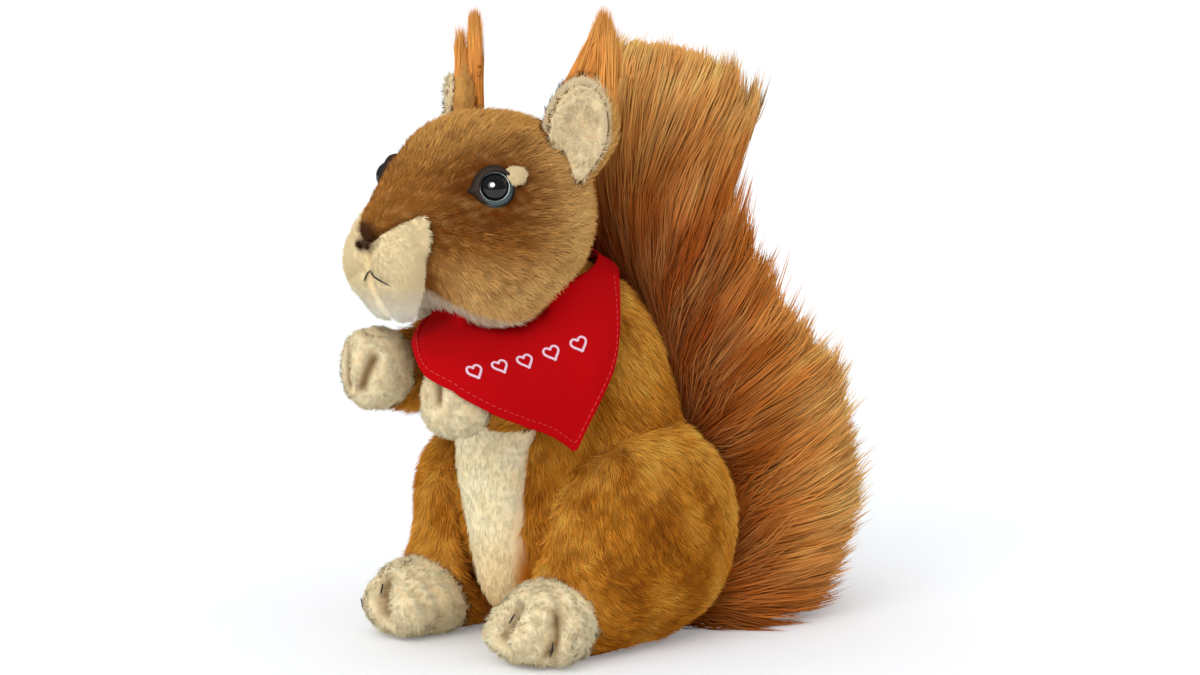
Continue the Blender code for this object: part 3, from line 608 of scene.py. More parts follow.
def cloth_under(name, size, dark=0.72, pale=1.12):
    """The knitted ground between a plush's hairs, in their own tint, mottled between dark and pale, with a
    fine napped bump. Where dark and pale are below one, the ground is darkened as painted shade in the gaps
    between the hairs.
    """
    made = finish_for(name, (0.5, 0.5, 0.5), 1.0, Specular_IOR_Level=0.03)
    nodes, links = made.node_tree.nodes, made.node_tree.links
    place, mottle, level = (nodes.new("ShaderNode" + kind) for kind in ("TexCoord", "TexNoise", "MapRange"))
    source, shade, bump = (nodes.new("ShaderNode" + kind) for kind in ("Attribute", "VectorMath", "Bump"))
    mottle.inputs["Scale"].default_value = 1 / size
    mottle.inputs["Detail"].default_value = 5
    links.new(place.outputs["Object"], mottle.inputs["Vector"])
    level.inputs["To Min"].default_value = dark
    level.inputs["To Max"].default_value = pale
    links.new(mottle.outputs["Fac"], level.inputs["Value"])
    source.attribute_name = "tint"
    shade.operation = "SCALE"
    links.new(source.outputs["Color"], shade.inputs[0])
    links.new(level.outputs[0], shade.inputs["Scale"])
    links.new(shade.outputs[0], nodes["Principled BSDF"].inputs["Base Color"])
    bump.inputs["Strength"].default_value = 0.6
    bump.inputs["Distance"].default_value = 0.0006
    links.new(mottle.outputs["Fac"], bump.inputs["Height"])
    links.new(bump.outputs[0], nodes["Principled BSDF"].inputs["Normal"])
    return made


# The brown ground is kept at 0.55 to 0.95 of the hairs' tint, as painted shade in the gaps between the hairs.
brown_plush = ("short_brown_plush", cloth_under("brown plush ground", 0.004, 0.55, 0.95),
               hair_finish("brown plush pile", 0.9, 0.05, (1.0, 0.55, 0.15)))
gold, brown, umber = (0.72, 0.37, 0.095), (0.37, 0.134, 0.018), (0.185, 0.048, 0.003)
straw, bisque = (0.95, 0.54, 0.18), (1.0, 0.90, 0.60)
soot, bistre = (0.085, 0.032, 0.010), (0.15, 0.036, 0.002)
nose_at, eye_at = np.array((0, -0.1145, 0.1560)), np.array((0.0295, -0.0766, 0.1736))
head = stuffed_skin("head_skin", "head", brown_plush, swell=-0.0010, blown=0.0008)


def to_eyes(points):
    """How far each point is from the nearer eye, in metres, and the points folded to the left side."""
    folded = points * np.array((0, 1, 1)) + np.abs(points) * np.array((1, 0, 0))
    return np.linalg.norm(folded - eye_at, axis=1), folded


def head_flow(points, out):
    lay = unit(points - nose_at - np.array((0, -0.004, 0)))
    lay[:, 2] -= 0.45 * ramp(points[:, 2], 0.165, 0.135)
    gap, folded = to_eyes(points)
    off = unit(folded - eye_at)
    off[:, 0] *= np.sign(points[:, 0])
    return lay + off * np.exp(-(gap / 0.009) ** 2)[:, None] * 0.8 + 0.15 * swirl(points, 0.02, 91)


def head_length(points, out):
    gap = to_eyes(points)[0]
    from_nose = np.linalg.norm(points - nose_at, axis=1)
    grown = 0.0026 + 0.0040 * ramp(from_nose, 0, 0.075)
    return grown * np.clip((gap - 0.0055) / 0.010, 0.30, 1)


def head_tint(points, out, t):
    gap, folded = to_eyes(points)
    height, back = points[:, 2], points[:, 1]
    crown = ramp(height, 0.178, 0.193)
    jowl = ramp(height, 0.153, 0.134) * ramp(folded[:, 0], 0.010, 0.024)
    rear = ramp(back, -0.068, -0.042) * ramp(folded[:, 0], 0.020, 0.034)
    mask = np.exp(-(np.clip(gap - 0.008, 0, 1) / 0.012) ** 2)
    bridge = near(folded, (0.020, -0.092, 0.158), (0.012, 0.016, 0.009))
    throat = ramp(height - 0.1390 + 0.52 * folded[:, 0], 0.0012, -0.0012) * ramp(back, -0.044, -0.052)
    nose = near(points, nose_at + np.array((0, 0, 0.001)), (0.0080, 0.0080, 0.0072))
    mottle, fine = drift(points, 0.016, 3), drift(points, 0.005, 4)
    colour = blend(brown, (gold, 0.75 * crown + 0.15 * mottle), (straw, 0.95 * jowl + 0.1 * fine),
                   (straw, 0.85 * rear), (bistre, 0.95 * mask), (umber, 0.75 * bridge),
                   (umber, 0.45 * mottle + 0.30 * fine), (straw, -0.25 * fine))
    for paint, share in ((soot, ramp(nose, 0.30, 0.65)), (bisque, throat)):
        colour = colour * (1 - share[:, None]) + np.array(paint)[None, :] * share[:, None]
    # Painted shade: the hair is darker towards its roots, deep in the pile.
    return colour * (0.72 + 0.42 * t)


def head_keep(points, out):
    gap, folded = to_eyes(points)
    return (gap > 0.0061) & (np.linalg.norm(folded - np.array((0.0324, -0.0703, 0.1771)), axis=1) > 0.0032)


pile(head, "head_pile", brown_plush, 44000, head_length, 0.00030, 25, head_flow, head_tint,
     locks=((0.0022, 0.35),), rough=(0.10, 0.14), keep=head_keep,
     beside=("torso", "muzzle_left", "muzzle_right", "ear_left", "ear_right"), seed=11)


# Muzzle
# Two cream halves of short velvet pile, sewn together down the middle under the nose, with a full lip above
# and the chin below. The mouth is one thin black thread on each side, stitched out from the middle seam.
cream_plush = ("cream_plush", cloth_under("cream plush ground", 0.003, 0.90, 1.06),
               hair_finish("cream plush pile", 0.9, 0.05, (1.0, 0.92, 0.75)))
black_thread = finish_for("black thread", (0.008, 0.006, 0.006), 0.6, Specular_IOR_Level=0.3)


def muzzle_flow(points, out):
    return unit(points - nose_at - np.array((0, 0.002, 0.004))) + np.array((0, 0.2, -0.5))


def muzzle_tint(points, out, t):
    warm = 0.5 + 0.5 * drift(points, 0.012, 5)
    under = ramp(points[:, 2], 0.140, 0.127)
    nose = ramp(near(points, nose_at - np.array((0, 0, 0.0005)), (0.0058, 0.0080, 0.0056)), 0.20, 0.65)
    colour = blend((0.95, 0.74, 0.41), ((1.0, 0.80, 0.47), warm), ((1.0, 0.94, 0.78), 0.9 * under))
    colour = colour * (1 - nose)[:, None] + np.array(soot)[None, :] * nose[:, None]
    # Painted shade: the hair is a little darker towards its roots.
    return colour * (0.93 + 0.09 * t)


def muzzle_keep(points, out):
    inner = (np.abs(points[:, 0]) < 0.0022) & (out[:, 0] * np.sign(points[:, 0]) < -0.6)
    return (out[:, 1] < 0.45) & ~inner


sides = (("left", 1), ("right", -1))
seam_marks = ((-114.0, 152.0), (-112.5, 146.0), (-110.0, 139.0), (-106.0, 131.0), (-100.0, 125.0))
mouth_marks = ((0.5, 144.6), (2.6, 143.9), (5.2, 142.9), (8.2, 141.6), (11.4, 140.2))
far_mouth_marks = ((0.5, 144.6), (1.0, 143.4), (1.6, 142.0), (2.2, 140.6))
for side, sign in sides:
    seam = [(0, y / 1000, z / 1000) for y, z in seam_marks]
    fold = [(sign * x / 1000, -0.1115, z / 1000) for x, z in mouth_marks]
    lip = stuffed_skin("muzzle_skin_" + side, "muzzle_" + side, cream_plush, grain=0.0011, rounds=8,
                       swell=-0.0003, stitched=(seam, fold), depth=0.0013, reach=0.0024, blown=0.0010)
    pile(lip, "muzzle_pile_" + side, cream_plush, 16000, 0.0026, 0.00018, 30, muzzle_flow, muzzle_tint,
         locks=((0.0014, 0.15),), rough=(0.02, 0.04), soften=0.88, keep=muzzle_keep, seed=21)
    face, mouth = surface_of(lip), []
    for across, height in mouth_marks if sign > 0 else far_mouth_marks:
        hit = face.ray_cast(Vector((sign * across / 1000, -0.2, height / 1000)), Vector((0, 1, 0)))[0]
        mouth.append(np.array(hit) + np.array((0, -0.0014, 0)))
    threads("mouth_thread_" + side, [mouth], 0.00032, black_thread)


# Eyes
# A moulded safety eye on each side: a black dome in a grey iris ring, with a crescent of dark felt over its
# top and front, drawn to a corner at each end, and a patch of cream plush behind. The washers stay inside
# the head.
def turned(name, rings, at, columns=40):
    """A closed piece turned round the up of its place, from (radius, height) points down its outer side."""
    middle, across, over, up = at
    points, faces = [], []
    for radius, height in rings:
        for k in range(columns):
            turn = 2 * math.pi * k / columns
            points.append(middle + (across * math.cos(turn) + over * math.sin(turn)) * radius + up * height)
    for j in range(len(rings) - 1):
        for k in range(columns):
            a, b = j * columns + k, j * columns + (k + 1) % columns
            faces.append((a, a + columns, b + columns, b))
    faces.append(tuple(range(columns)))
    faces.append(tuple(reversed(range(len(points) - columns, len(points)))))
    return new_piece(name, points, faces)


glass_black = finish_for("black glass", (0.002, 0.002, 0.003), 0.09, Specular_IOR_Level=0.6)
glass_grey = finish_for("grey glass", (0.060, 0.080, 0.080), 0.20, Specular_IOR_Level=0.4)
felt = finish_for("dark felt", (0.030, 0.015, 0.008), 0.75, Specular_IOR_Level=0.15)
white_plastic = finish_for("white plastic", (0.80, 0.80, 0.78), 0.5)
dome_radius, dome_height, ring_hole, ring_radius = 0.0049, 0.0041, 0.00497, 0.0067
ring_profile = ((0, 0.0013), (0.06, 0.0016), (0.3, 0.0015), (0.6, 0.0010), (0.85, 0.0004), (1, -0.0002),
                (0.9, -0.0007), (0, -0.0007))
lid_radius, lid_shift = 0.0062, 0.0008


def patch_flow(points, out):
    return np.tile((0.1, 0.6, -0.6), (len(points), 1))


def patch_tint(points, out, t):
    # Painted shade: the hair is a little darker towards its roots.
    return np.tile(np.array((0.72, 0.55, 0.31)) * (0.88 + 0.14 * t), (len(points), 1))


for side, sign in sides:
    ring = places(frame["nodes"]["iris_" + side].data)
    middle = ring.mean(axis=0)
    up = np.linalg.svd(ring - middle)[2][2]
    up = up * (1 if up[1] < 0 else -1)
    rear = unit(np.array((0, 1, 0)) - up * up[1])
    high = np.cross(up, rear) * sign
    at = (middle - up * 0.0004 + high * 0.0004, rear, high * sign, up)
    centre = middle - up * 0.0004 + rear * 0.0002 - high * 0.0003
    turns = [math.radians(angle) for angle in (4, 10, 18, 27, 36, 45, 54, 63, 72, 81, 90)]
    dome = [(dome_radius * math.sin(turn), dome_height * math.cos(turn)) for turn in turns]
    stem = [(dome_radius, -0.0005), (0.0022, -0.0006), (0.0021, -0.0070)]
    eye = turned("eye_dome_" + side, dome + stem, at)
    eye.data.materials.append(glass_black)
    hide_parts("eye_" + side)
    points, faces, columns = [], [], 48
    for share, height in ring_profile:
        for k in range(columns):
            turn = 2 * math.pi * k / columns
            spoke = at[1] * math.cos(turn) + at[2] * math.sin(turn)
            hole, edge = at[0] + spoke * ring_hole, centre + spoke * ring_radius
            points.append(hole * (1 - share) + edge * share + up * height)
    for j in range(len(ring_profile)):
        for k in range(columns):
            a, b = j * columns + k, j * columns + (k + 1) % columns
            c, d = (b + columns) % len(points), (a + columns) % len(points)
            faces.append((a, d, c, b))
    iris = new_piece("iris_ring_" + side, points, faces)
    iris.data.materials.append(glass_grey)
    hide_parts("iris_" + side)
    points, faces, columns = [], [], 120
    for k in range(columns):
        angle = 360 * k / columns
        turn = math.radians(angle)
        spoke = rear * math.cos(turn) + high * math.sin(turn)
        toward = lid_shift * math.cos(turn) - lid_shift * math.sin(turn)
        inner = toward + math.sqrt(lid_radius ** 2 - 2 * lid_shift ** 2 + toward ** 2)
        off = abs((angle - 122 + 180) % 360 - 180)
        weight = min(max((118 - off) / 70, 0), 1) ** 0.8
        outer = inner + 0.00020 + 0.0028 * weight
        for corner, reach, spread in ((174, 0.0016, 8), (26, 0.0010, 9)):
            outer += reach * math.exp(-(((angle - corner + 180) % 360 - 180) / spread) ** 2)
        wide = outer - inner
        lid_profile = ((0, 0.0002), (0, 0.0007 + 0.0009 * weight), (0.2, 0.0009 + 0.0011 * weight),
                       (0.5, 0.0006 + 0.0009 * weight), (0.8, 0.0001 + 0.0003 * weight), (1, -0.0008),
                       (0.6, -0.0014))
        for share, height in lid_profile:
            points.append(at[0] + spoke * (inner + wide * share) + up * height)
    rows = len(lid_profile)
    for k in range(columns):
        beyond = ((k + 1) % columns) * rows
        for j in range(rows):
            a, b, c, d = k * rows + j, k * rows + (j + 1) % rows, beyond + (j + 1) % rows, beyond + j
            faces.append((a, b, c, d) if sign < 0 else (d, c, b, a))
    lid = new_piece("eyelid_felt_" + side, points, faces)
    lid.data.materials.append(felt)
    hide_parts("eyelid_" + side)
    patch = stuffed_skin("eye_patch_skin_" + side, "eye_patch_" + side, cream_plush, grain=0.0008, rounds=3,
                         swell=0.0004)
    off = places(patch.data) - places(patch.data).mean(axis=0)
    longer, lower = 0.25 * (off @ rear), -0.22 * (off @ high) - 0.0008
    shift = longer[:, None] * rear + lower[:, None] * high - up * 0.0004
    reshape(patch, lambda points, out: points + shift)
    pile(patch, "eye_patch_pile_" + side, cream_plush, 900, 0.0016, 0.00021, 38, patch_flow, patch_tint,
         locks=((0.0014, 0.3),), rough=(0.04, 0.06), seed=25)
    washer = frame["nodes"]["eye_washer_" + side]
    washer.data.materials.clear()
    washer.data.materials.append(white_plastic)


# Torso and belly
# The torso is one bag of brown plush with the nap brushed down and back. The belly is a strip of cream plush
# let into its front, from the throat to between the hind feet, with a shorter pile.
amber, rust, dusk = (0.95, 0.43, 0.065), (0.60, 0.205, 0.012), (0.30, 0.080, 0.003)


def down_flow(points, out):
    lay = np.tile((0.0, 0.45, -1.0), (len(points), 1))
    lay[:, 0] = 0.25 * np.sign(points[:, 0])
    return lay + 0.2 * swirl(points, 0.03, 12)


def body_tint(points, out, t):
    patch, fine = drift(points, 0.022, 8), drift(points, 0.006, 9)
    # Painted light and shade: shoulder lightens the upper front where the light falls, waist darkens the
    # crease above the haunches, and low darkens the torso near the floor. patch and fine are the plush's own
    # uneven tone.
    low = ramp(points[:, 2], 0.02, 0)
    shoulder = ramp(points[:, 1], -0.050, -0.020) * ramp(points[:, 2], 0.075, 0.105)
    waist = near(points * np.array((0, 1, 1)), (0, 0.0, 0.098), (1, 0.020, 0.022))
    colour = blend(rust, (amber, 0.15 + 0.55 * shoulder - 0.35 * waist + 0.35 * patch + 0.40 * fine),
                   (dusk, -0.55 * patch - 0.50 * fine), (dusk, 0.4 * low))
    # Painted shade: the hair is darker towards its roots, deep in the pile.
    return colour * (0.60 + 0.56 * t)


def lap_in(points, out):
    """The lap drawn in between the haunches."""
    front = ramp(points[:, 2], 0.070, 0.012) * ramp(points[:, 1], -0.015, -0.040)
    inward = 0.011 * front * np.exp(-(points[:, 0] / 0.030) ** 4)
    return points + inward[:, None] * np.array((0, 1, 0))


def flank(points):
    """One on each side above the haunch, falling to nothing around it."""
    return sum(near(points, (sign * 0.044, 0.004, 0.088), (0.018, 0.024, 0.022)) for sign in (1, -1))


def torso_length(points, out):
    return 0.0070 + 0.0050 * flank(points)


torso = stuffed_skin("torso_skin", "torso", brown_plush, swell=0.0005, blown=0.0008)
reshape(torso, lap_in)
reshape(torso, lambda points, out: points + out * (0.0055 * flank(points))[:, None])
pile(torso, "torso_pile", brown_plush, 46000, torso_length, 0.00026, 18, down_flow, body_tint,
     locks=((0.0024, 0.32),), rough=(0.11, 0.15),
     keep=lambda points, out: (points[:, 2] > 0.004) & (points[:, 2] < 0.134),
     beside=("haunch_left", "haunch_right", "belly_panel", "arm_left", "arm_right", "head", "tail"), seed=31)


def belly_flow(points, out):
    lay = np.tile((0.0, -0.1, -1.0), (len(points), 1))
    lay[:, 0] = 4 * points[:, 0]
    return lay


def belly_tint(points, out, t):
    warm = 0.5 + 0.5 * drift(points, 0.014, 6)
    low = ramp(points[:, 2], 0.048, 0.010)
    edge = np.interp(points[:, 2], (0.0, 0.015, 0.070, 0.100), (0.005, 0.008, 0.018, 0.022))
    side = ramp(np.abs(points[:, 0]) - edge, -0.0010, 0.0010)
    colour = blend((0.97, 0.81, 0.48), ((1.0, 0.87, 0.58), warm), ((0.84, 0.52, 0.20), 0.8 * low),
                   (rust, side))
    # Painted shade: the hair is a little darker towards its roots.
    return colour * (0.98 + 0.10 * t)


belly = stuffed_skin("belly_skin", "belly_panel", cream_plush, grain=0.0020, rounds=10, swell=0.0012)
reshape(belly, lap_in)
pile(belly, "belly_pile", cream_plush, 12000, 0.0046, 0.00024, 18, belly_flow, belly_tint,
     locks=((0.0020, 0.35),), rough=(0.04, 0.06), keep=lambda points, out: out[:, 1] < 0.35,
     beside=("haunch_left", "haunch_right", "torso"), seed=32)


# Haunches
# Two full thighs in the torso's plush, each a bag sewn to the torso's side, with its shank reaching forward
# to the foot. The nap runs down from the hip and turns back towards the tail near the floor.
def haunch_flow(points, out):
    low = ramp(points[:, 2], 0.045, 0.005)
    lay = np.zeros_like(points)
    lay[:, 0] = 0.12 * np.sign(points[:, 0])
    lay[:, 1] = 0.42 + 0.9 * low
    lay[:, 2] = -1.0 + 0.75 * low
    return lay + 0.35 * swirl(points, 0.03, 12)


def haunch_tint(points, out, t):
    patch, fine = drift(points, 0.018, 8), drift(points, 0.005, 9)
    folded = points * np.array((0, 1, 1)) + np.abs(points) * np.array((1, 0, 0))
    # Painted light and shade: hip puts a painted highlight on the top of the haunch, rear paints light along
    # its back edge, and thigh paints shade over its middle. shin lightens the shank, and patch and fine are
    # the plush's own uneven tone.
    hip = near(folded, (0.050, -0.012, 0.070), (0.022, 0.028, 0.020))
    rear = ramp(points[:, 1], 0.004, 0.026)
    thigh = near(folded, (0.056, -0.020, 0.045), (0.020, 0.026, 0.020))
    shin = ramp(points[:, 1], -0.036, -0.054)
    dark = 0.16 + 0.40 * thigh - 0.60 * patch - 0.55 * fine - 0.6 * hip - 0.6 * rear - 0.4 * shin
    light = 0.75 * hip + 0.5 * rear + 0.4 * shin - 0.4 * thigh + 0.40 * patch + 0.45 * fine
    # Painted shade: the hair is darker towards its roots, deep in the pile.
    return blend(rust, (dusk, dark), (amber, light)) * (0.60 + 0.58 * t)


def fuller_knee(points, out):
    """The right haunch filled out at the knee, where it shows past the belly."""
    return points + out * (0.0045 * near(points, (-0.050, -0.037, 0.062), (0.02, 0.02, 0.022)))[:, None]


for side, sign in sides:
    haunch = stuffed_skin("haunch_skin_" + side, "haunch_" + side, brown_plush, swell=0.0006, blown=0.0010)
    if sign < 0:
        reshape(haunch, fuller_knee)
    pile(haunch, "haunch_pile_" + side, brown_plush, 36000, 0.0072, 0.00027, 18, haunch_flow, haunch_tint,
         locks=((0.0026, 0.34),), rough=(0.12, 0.15),
         keep=lambda points, out: (points[:, 2] > 0.003) & (out[:, 2] > -0.93),
         beside=("torso", "tail", "belly_panel", "hind_foot_" + side), seed=41)


# Arms
# A short sleeve of the same plush from each shoulder to the wrist, held up and forward, with the nap running
# to the paw. The right one is filled fuller and keeps a longer pile.
def arm_flow(points, out):
    return np.array((0, -1.0, -0.35)) + 0.3 * swirl(points, 0.02, 15)


for side, swell, long in (("left", 0.0002, 0.0060), ("right", 0.0022, 0.0120)):
    arm = stuffed_skin("arm_skin_" + side, "arm_" + side, brown_plush, grain=0.0020, rounds=10, swell=swell)
    pile(arm, "arm_pile_" + side, brown_plush, 7000, long, 0.00028, 16, arm_flow, body_tint,
         locks=((0.0026, 0.45),), rough=(0.14, 0.14), beside=("torso", "forepaw_" + side), seed=51)


# Forepaws and hind feet
# Closed bags of sand-coloured fleece whose pile curls up in small tufts. Each foot has three toes and each paw
# three fingers, parted by stitches pulled tight through the filling. Dark thread shows between the toes, and
# the fleece along every cleft is painted dark as painted shade.
fleece = ("sand_fleece", cloth_under("sand fleece ground", 0.002, 0.78, 1.04),
          hair_finish("sand fleece pile", 0.9, 0.05, (1.0, 0.92, 0.8)))
toes = [
    [(51.2, -64.7, 23.5), (53.3, -70.1, 16.2), (53.0, -70.8, 10.4), (49.7, -69.1, 3.5)],
    [(36.6, -73.1, 23.4), (35.3, -76.3, 16.8), (32.5, -76.8, 9.5)],
]
fingers = [
    [(13.5, -96.5, 110.0), (15.0, -99.5, 104.5), (16.0, -100.5, 99.0)],
    [(24.5, -98.5, 112.0), (25.0, -100.8, 106.0), (24.8, -100.8, 99.5)],
]
toe_stitches = [
    [(53.2, -71.2, 12.0), (52.6, -71.0, 8.6), (50.8, -70.2, 5.6)],
    [(36.2, -74.9, 21.4), (35.7, -75.6, 19.2), (35.3, -76.0, 17.6)],
]


def mirrored(paths, sign):
    """The left side's paths in millimetres, in metres on the side of that sign."""
    return [[(sign * x / 1000, y / 1000, z / 1000) for x, y, z in path] for path in paths]


def laid(paths, node, depths=(0.0, 0.0024, 0.0048)):
    """The paths drawn on the frame's solid, once at each depth below its face."""
    drawn = []
    for depth in depths:
        for path in paths:
            hits = [cad_faces[node].find_nearest(Vector(spot))[:2] for spot in path]
            drawn.append([np.array(spot - facing * depth) for spot, facing in hits])
    return drawn


def curly_flow(points, out):
    return 0.8 * swirl(points, 0.008, 61) + np.array((0, -0.1, -0.35))


def fleece_tint_for(paths):
    def fleece_tint(points, out, t):
        warm = 0.5 + 0.5 * drift(points, 0.004, 7)
        # Painted shade: the fleece turns dark brown along the clefts, where the stitches draw it in.
        dark = np.exp(-(gap_to(points, paths) / 0.0022) ** 2)
        colour = blend((0.94, 0.73, 0.42), ((1.0, 0.87, 0.57), warm), ((0.22, 0.12, 0.04), 0.95 * dark))
        # Painted shade: the hair is a little darker towards its roots.
        return colour * (0.92 + 0.12 * t)
    return fleece_tint


def fleece_length_for(paths, length):
    return lambda points, out: length * (1 - 0.65 * np.exp(-(gap_to(points, paths) / 0.0030) ** 2))


def fleece_bag(piece, side, paths, depth, reach, blown, count, length, beside, seed):
    """A foot or a paw, drawn in along the paths, with the reshaping of the right foot, and its pile."""
    node = piece + "_" + side
    clefts = laid(paths, node)
    bag = stuffed_skin(piece + "_skin_" + side, node, fleece, grain=0.0013, rounds=5, swell=0.0002,
                       stitched=clefts, depth=depth, reach=reach, blown=blown)
    if node == "hind_foot_right":
        reshape(bag, lambda points, out: points * np.array((1, 1, 0.93)) + np.array((0.0015, 0, 0)))
    pile(bag, piece + "_pile_" + side, fleece, count, fleece_length_for(clefts, length), 0.00024, 34,
         curly_flow, fleece_tint_for(clefts), locks=((0.0015, 0.55),), jitter=0.3, rough=(0.07, 0.05),
         soften=0.85, keep=lambda points, out: points[:, 2] > 0.0014, beside=(beside + side,), seed=seed)


for side, sign in sides:
    fleece_bag("hind_foot", side, mirrored(toes, sign), 0.0050, 0.0032, 0.0008, 13000, 0.0034, "haunch_", 61)
    sewn = laid(mirrored(toe_stitches, sign), "hind_foot_" + side, (0.0010,))
    threads("toe_stitches_" + side, sewn, 0.00040, black_thread)
    fleece_bag("forepaw", side, mirrored(fingers, sign), 0.0030, 0.0024, 0.0006, 8000, 0.0030, "arm_", 62)


# Ears
# A stiffened leaf of brown plush, dished at the front and lined with fleece, set in the seam of the head.
# A lock of long hair is sewn in behind the rim and stands well above it.
def ear_flow(points, out):
    lay = np.ones_like(points) * np.array((0.15, 0.1, 1.0))
    lay[:, 0] *= np.sign(points[:, 0])
    return lay


def ear_tint(points, out, t):
    fine = drift(points, 0.006, 9)
    rim = ramp(-out[:, 1], 0.10, 0.45) * (points[:, 0] > 0)
    colour = blend((0.98, 0.48, 0.13), (gold, 0.5 + 0.3 * fine), (umber, -0.3 * fine),
                   ((0.86, 0.68, 0.42), rim))
    # Painted shade: the hair is darker towards its roots, deep in the pile.
    return colour * (0.75 + 0.40 * t)


def ear_length(points, out):
    return 0.0044 - 0.0024 * ramp(-out[:, 1], 0.20, 0.50)


def lining_flow(points, out):
    lay = 0.6 * swirl(points, 0.007, 65)
    lay[:, 2] += 0.25
    return lay


def lining_tint(points, out, t):
    warm = 0.5 + 0.5 * drift(points, 0.004, 7)
    # Painted shade: the hair is darker towards its roots.
    return blend((0.86, 0.65, 0.37), ((0.98, 0.80, 0.50), warm)) * (0.86 + 0.18 * t)


near_tips = np.array((
    (-10.0, 33.0, -29.0, 229.0), (-2.0, 33.5, -28.4, 232.5), (3.0, 34.0, -28.0, 234.0),
    (7.0, 36.7, -25.7, 230.5), (11.0, 40.5, -23.3, 222.0), (14.0, 42.0, -21.5, 212.0),
    (18.0, 44.0, -19.5, 203.0),
)) / 1000
far_tips = np.array((
    (-56.0, -38.4, -33.2, 221.0), (-50.0, -38.1, -32.7, 224.6), (-46.6, -36.4, -30.3, 214.0),
    (-44.6, -35.1, -28.4, 229.8), (-40.0, -34.3, -27.8, 227.0),
)) / 1000


def tuft_tip(points):
    """The place that each hair of the tuft reaches for, from where its root stands across the tuft."""
    across = 0.682 * points[:, 0] + 0.731 * points[:, 1]
    tip = np.zeros_like(points)
    for side, tips in ((points[:, 0] > 0, near_tips), (points[:, 0] <= 0, far_tips)):
        for axis in range(3):
            tip[side, axis] = np.interp(across[side], tips[:, 0], tips[:, axis + 1])
    return tip


def tuft_flow(points, out):
    return tuft_tip(points) - points


def tuft_length(points, out):
    return np.maximum(np.linalg.norm(tuft_tip(points) - points, axis=1), 0.005)


def tuft_tint(points, out, t):
    high = ramp(points[:, 2], 0.195, 0.228)
    fine = drift(points * np.array((1, 1, 0.1)), 0.004, 9)
    colour = blend((0.74, 0.235, 0.028), ((0.96, 0.43, 0.10), 0.20 + 0.7 * high + 0.25 * fine),
                   ((0.50, 0.13, 0.012), -0.3 * fine))
    # Painted shade: the hair is darker towards its roots.
    return colour * (0.80 + 0.24 * t)


def upper_rim(points, out):
    """The top of the ear, on the left one without its dish, where the lock of long hair goes on."""
    above = points[:, 2] > np.where(points[:, 0] > 0, 0.187, 0.194)
    return above & ((out[:, 1] > -0.4) | (points[:, 0] < 0))


# The russet ground is kept at 0.45 to 0.85 of the hairs' tint, as painted shade in the gaps between the hairs.
russet_plush = ("long_russet_plush", cloth_under("russet plush ground", 0.006, 0.45, 0.85),
                hair_finish("russet plush pile", 0.7, 0.06, (1.0, 0.7, 0.4)))
ear_top = 0.194
for side in ("left", "right"):
    ear = stuffed_skin("ear_skin_" + side, "ear_" + side, brown_plush, grain=0.0012, rounds=5, swell=-0.0006)
    pile(ear, "ear_pile_" + side, brown_plush, 4000, ear_length, 0.00028, 22, ear_flow, ear_tint,
         locks=((0.002, 0.4),), seed=71)
    lining = stuffed_skin("ear_lining_skin_" + side, "ear_lining_" + side, fleece, grain=0.0010, rounds=4,
                          swell=0.0003)
    pile(lining, "ear_lining_pile_" + side, fleece, 3200, 0.0036, 0.00028, 34, lining_flow, lining_tint,
         locks=((0.0013, 0.75),), jitter=0.4, rough=(0.10, 0.06), keep=lambda points, out: out[:, 1] < 0.1,
         seed=72)
    tuft = stuffed_skin("ear_tuft_core_" + side, "ear_tuft_" + side, russet_plush, grain=0.0010, rounds=3,
                        swell=-0.0010)
    reshape(tuft, lambda points, out: points + (points - ear_top) * np.array((0, 0, 0.55 - 1)))
    for skin, name, count, keep, seed in ((tuft, "ear_tuft_pile_", 2300, None, 73),
                                          (ear, "ear_fringe_", 1800, upper_rim, 74)):
        pile(skin, name + side, russet_plush, count, tuft_length, 0.00028, 0, tuft_flow, tuft_tint, joints=2,
             locks=((0.003, 0.35),), free=True, jitter=0.0012, rough=(0.08, 0.08), soften=0.6, keep=keep,
             seed=seed)


# Tail
# One tall bag of long-pile plush, golden at the tips. It is darker at the roots, along its front by the back
# and near the floor, as painted shade, and lighter along its back and top, as painted rim light. The hair is
# combed back at the floor, turns up towards the middle and stands straight up at the top, in soft overlapping
# locks.
combed = np.array(((0.0, 1.0, -0.10), (0.04, 1.0, 0.25), (0.08, 0.95, 0.65), (0.13, 0.60, 1.0),
                   (0.160, 0.30, 1.0), (0.180, 0.85, 1.0), (0.205, 0.45, 1.0), (0.222, 0.10, 1.0)))


def tail_flow(points, out):
    lay = 4 * points
    for axis in (1, 2):
        lay[:, axis] = np.interp(points[:, 2], combed[:, 0], combed[:, axis])
    return unit(lay) + 0.12 * swirl(points, 0.03, 81)


def into_nap(points, out):
    """Nought where the skin lies along the nap, and one where it faces the way that the hair runs."""
    return np.clip((unit(tail_flow(points, out)) * out).sum(axis=1), 0, 1)


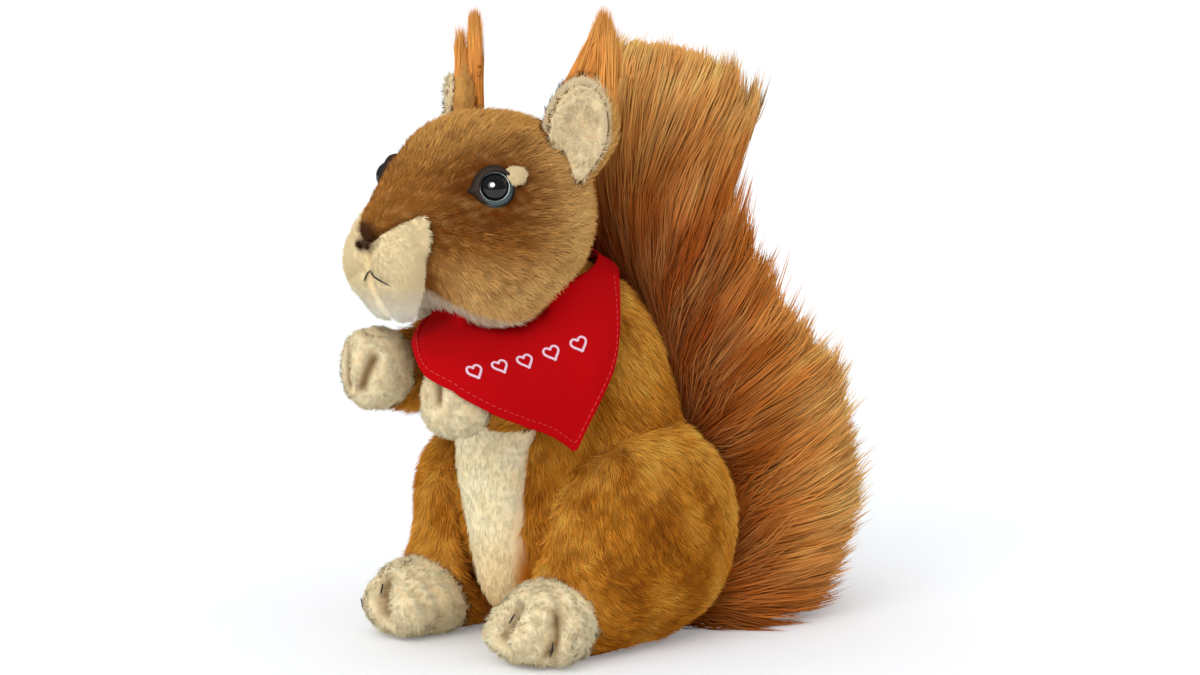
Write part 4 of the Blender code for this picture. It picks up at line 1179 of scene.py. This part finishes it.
def tail_length(points, out):
    top = np.clip((0.233 - points[:, 2]) / 0.05, 0.36, 1)
    edge = ramp(points[:, 2], 0.020, 0.050) * ramp(points[:, 2], 0.178, 0.162)
    shaggy = np.clip(1.06 + 0.66 * drift(points, 0.0075, 83), 0.45, 1.9)
    return 0.032 * (1 - (0.62 + 0.20 * edge) * into_nap(points, out)) * top * shaggy


def tail_lean(points, out):
    return 6 + 24 * into_nap(points, out)


def tail_tint(points, out, t):
    # Painted light and shade: front darkens the tail where it stands close to the back, low darkens it near
    # the floor, and rear and high paint the light along its back and top, most at the tips. patch and fine are
    # the plush's own uneven tone.
    front = ramp(points[:, 1], 0.066, 0.022) * ramp(points[:, 2], 0.20, 0.15)
    low = ramp(points[:, 2], 0.035, 0.008)
    rear = ramp(points[:, 1], 0.045, 0.100)
    high = ramp(points[:, 2], 0.165, 0.212)
    patch, fine = drift(points, 0.020, 84), drift(points * np.array((1, 0.4, 0.4)), 0.004, 85)
    light = 0.10 + 0.95 * rear + 0.66 * high + 0.22 * patch + 0.25 * fine
    colour = blend((0.80, 0.24, 0.024), ((0.26, 0.034, 0.001), 0.85 * front),
                   ((1.0, 0.56, 0.18), (0.45 + 0.55 * t) * light),
                   ((0.36, 0.080, 0.006), -0.35 * patch - 0.35 * fine), ((0.40, 0.10, 0.012), 0.7 * low),
                   ((1.0, 0.68, 0.34), 0.6 * high * rear * t))
    # Painted shade: the hair is darker towards its roots, deep in the pile.
    return colour * (0.74 + 0.42 * t)


def slimmer_back(points, out):
    """The tail's back drawn in by a millimetre or two, by (height, depth) marks, to leave room for hair."""
    marks = np.array(((0.0, 0.0), (0.02, 0.0), (0.05, 0.0014), (0.105, 0.0014), (0.14, 0.0024),
                      (0.165, 0.0010), (0.184, -0.0014), (0.21, 0.0)))
    inward = ramp(out[:, 1], 0.2, 0.7) * np.interp(points[:, 2], marks[:, 0], marks[:, 1])
    return points - out * inward[:, None]


tail = stuffed_skin("tail_skin", "tail", russet_plush, grain=0.0034, rounds=12, swell=-0.0010)
reshape(tail, slimmer_back)
for side, sign in sides:
    pile(tail, "tail_pile_" + side, russet_plush, 29500, tail_length, 0.00034, tail_lean, tail_flow, tail_tint,
         joints=2, locks=((0.0035, 0.45), (0.009, 0.35)), jitter=0.12, rough=(0.12, 0.09), hug=0.45,
         soften=0.75, beside=("torso", "haunch_left", "haunch_right"), seed=81 if sign > 0 else 82,
         keep=lambda points, out: (points[:, 0] * sign >= 0) & (points[:, 2] > 0.002) & (out[:, 2] > -0.9))
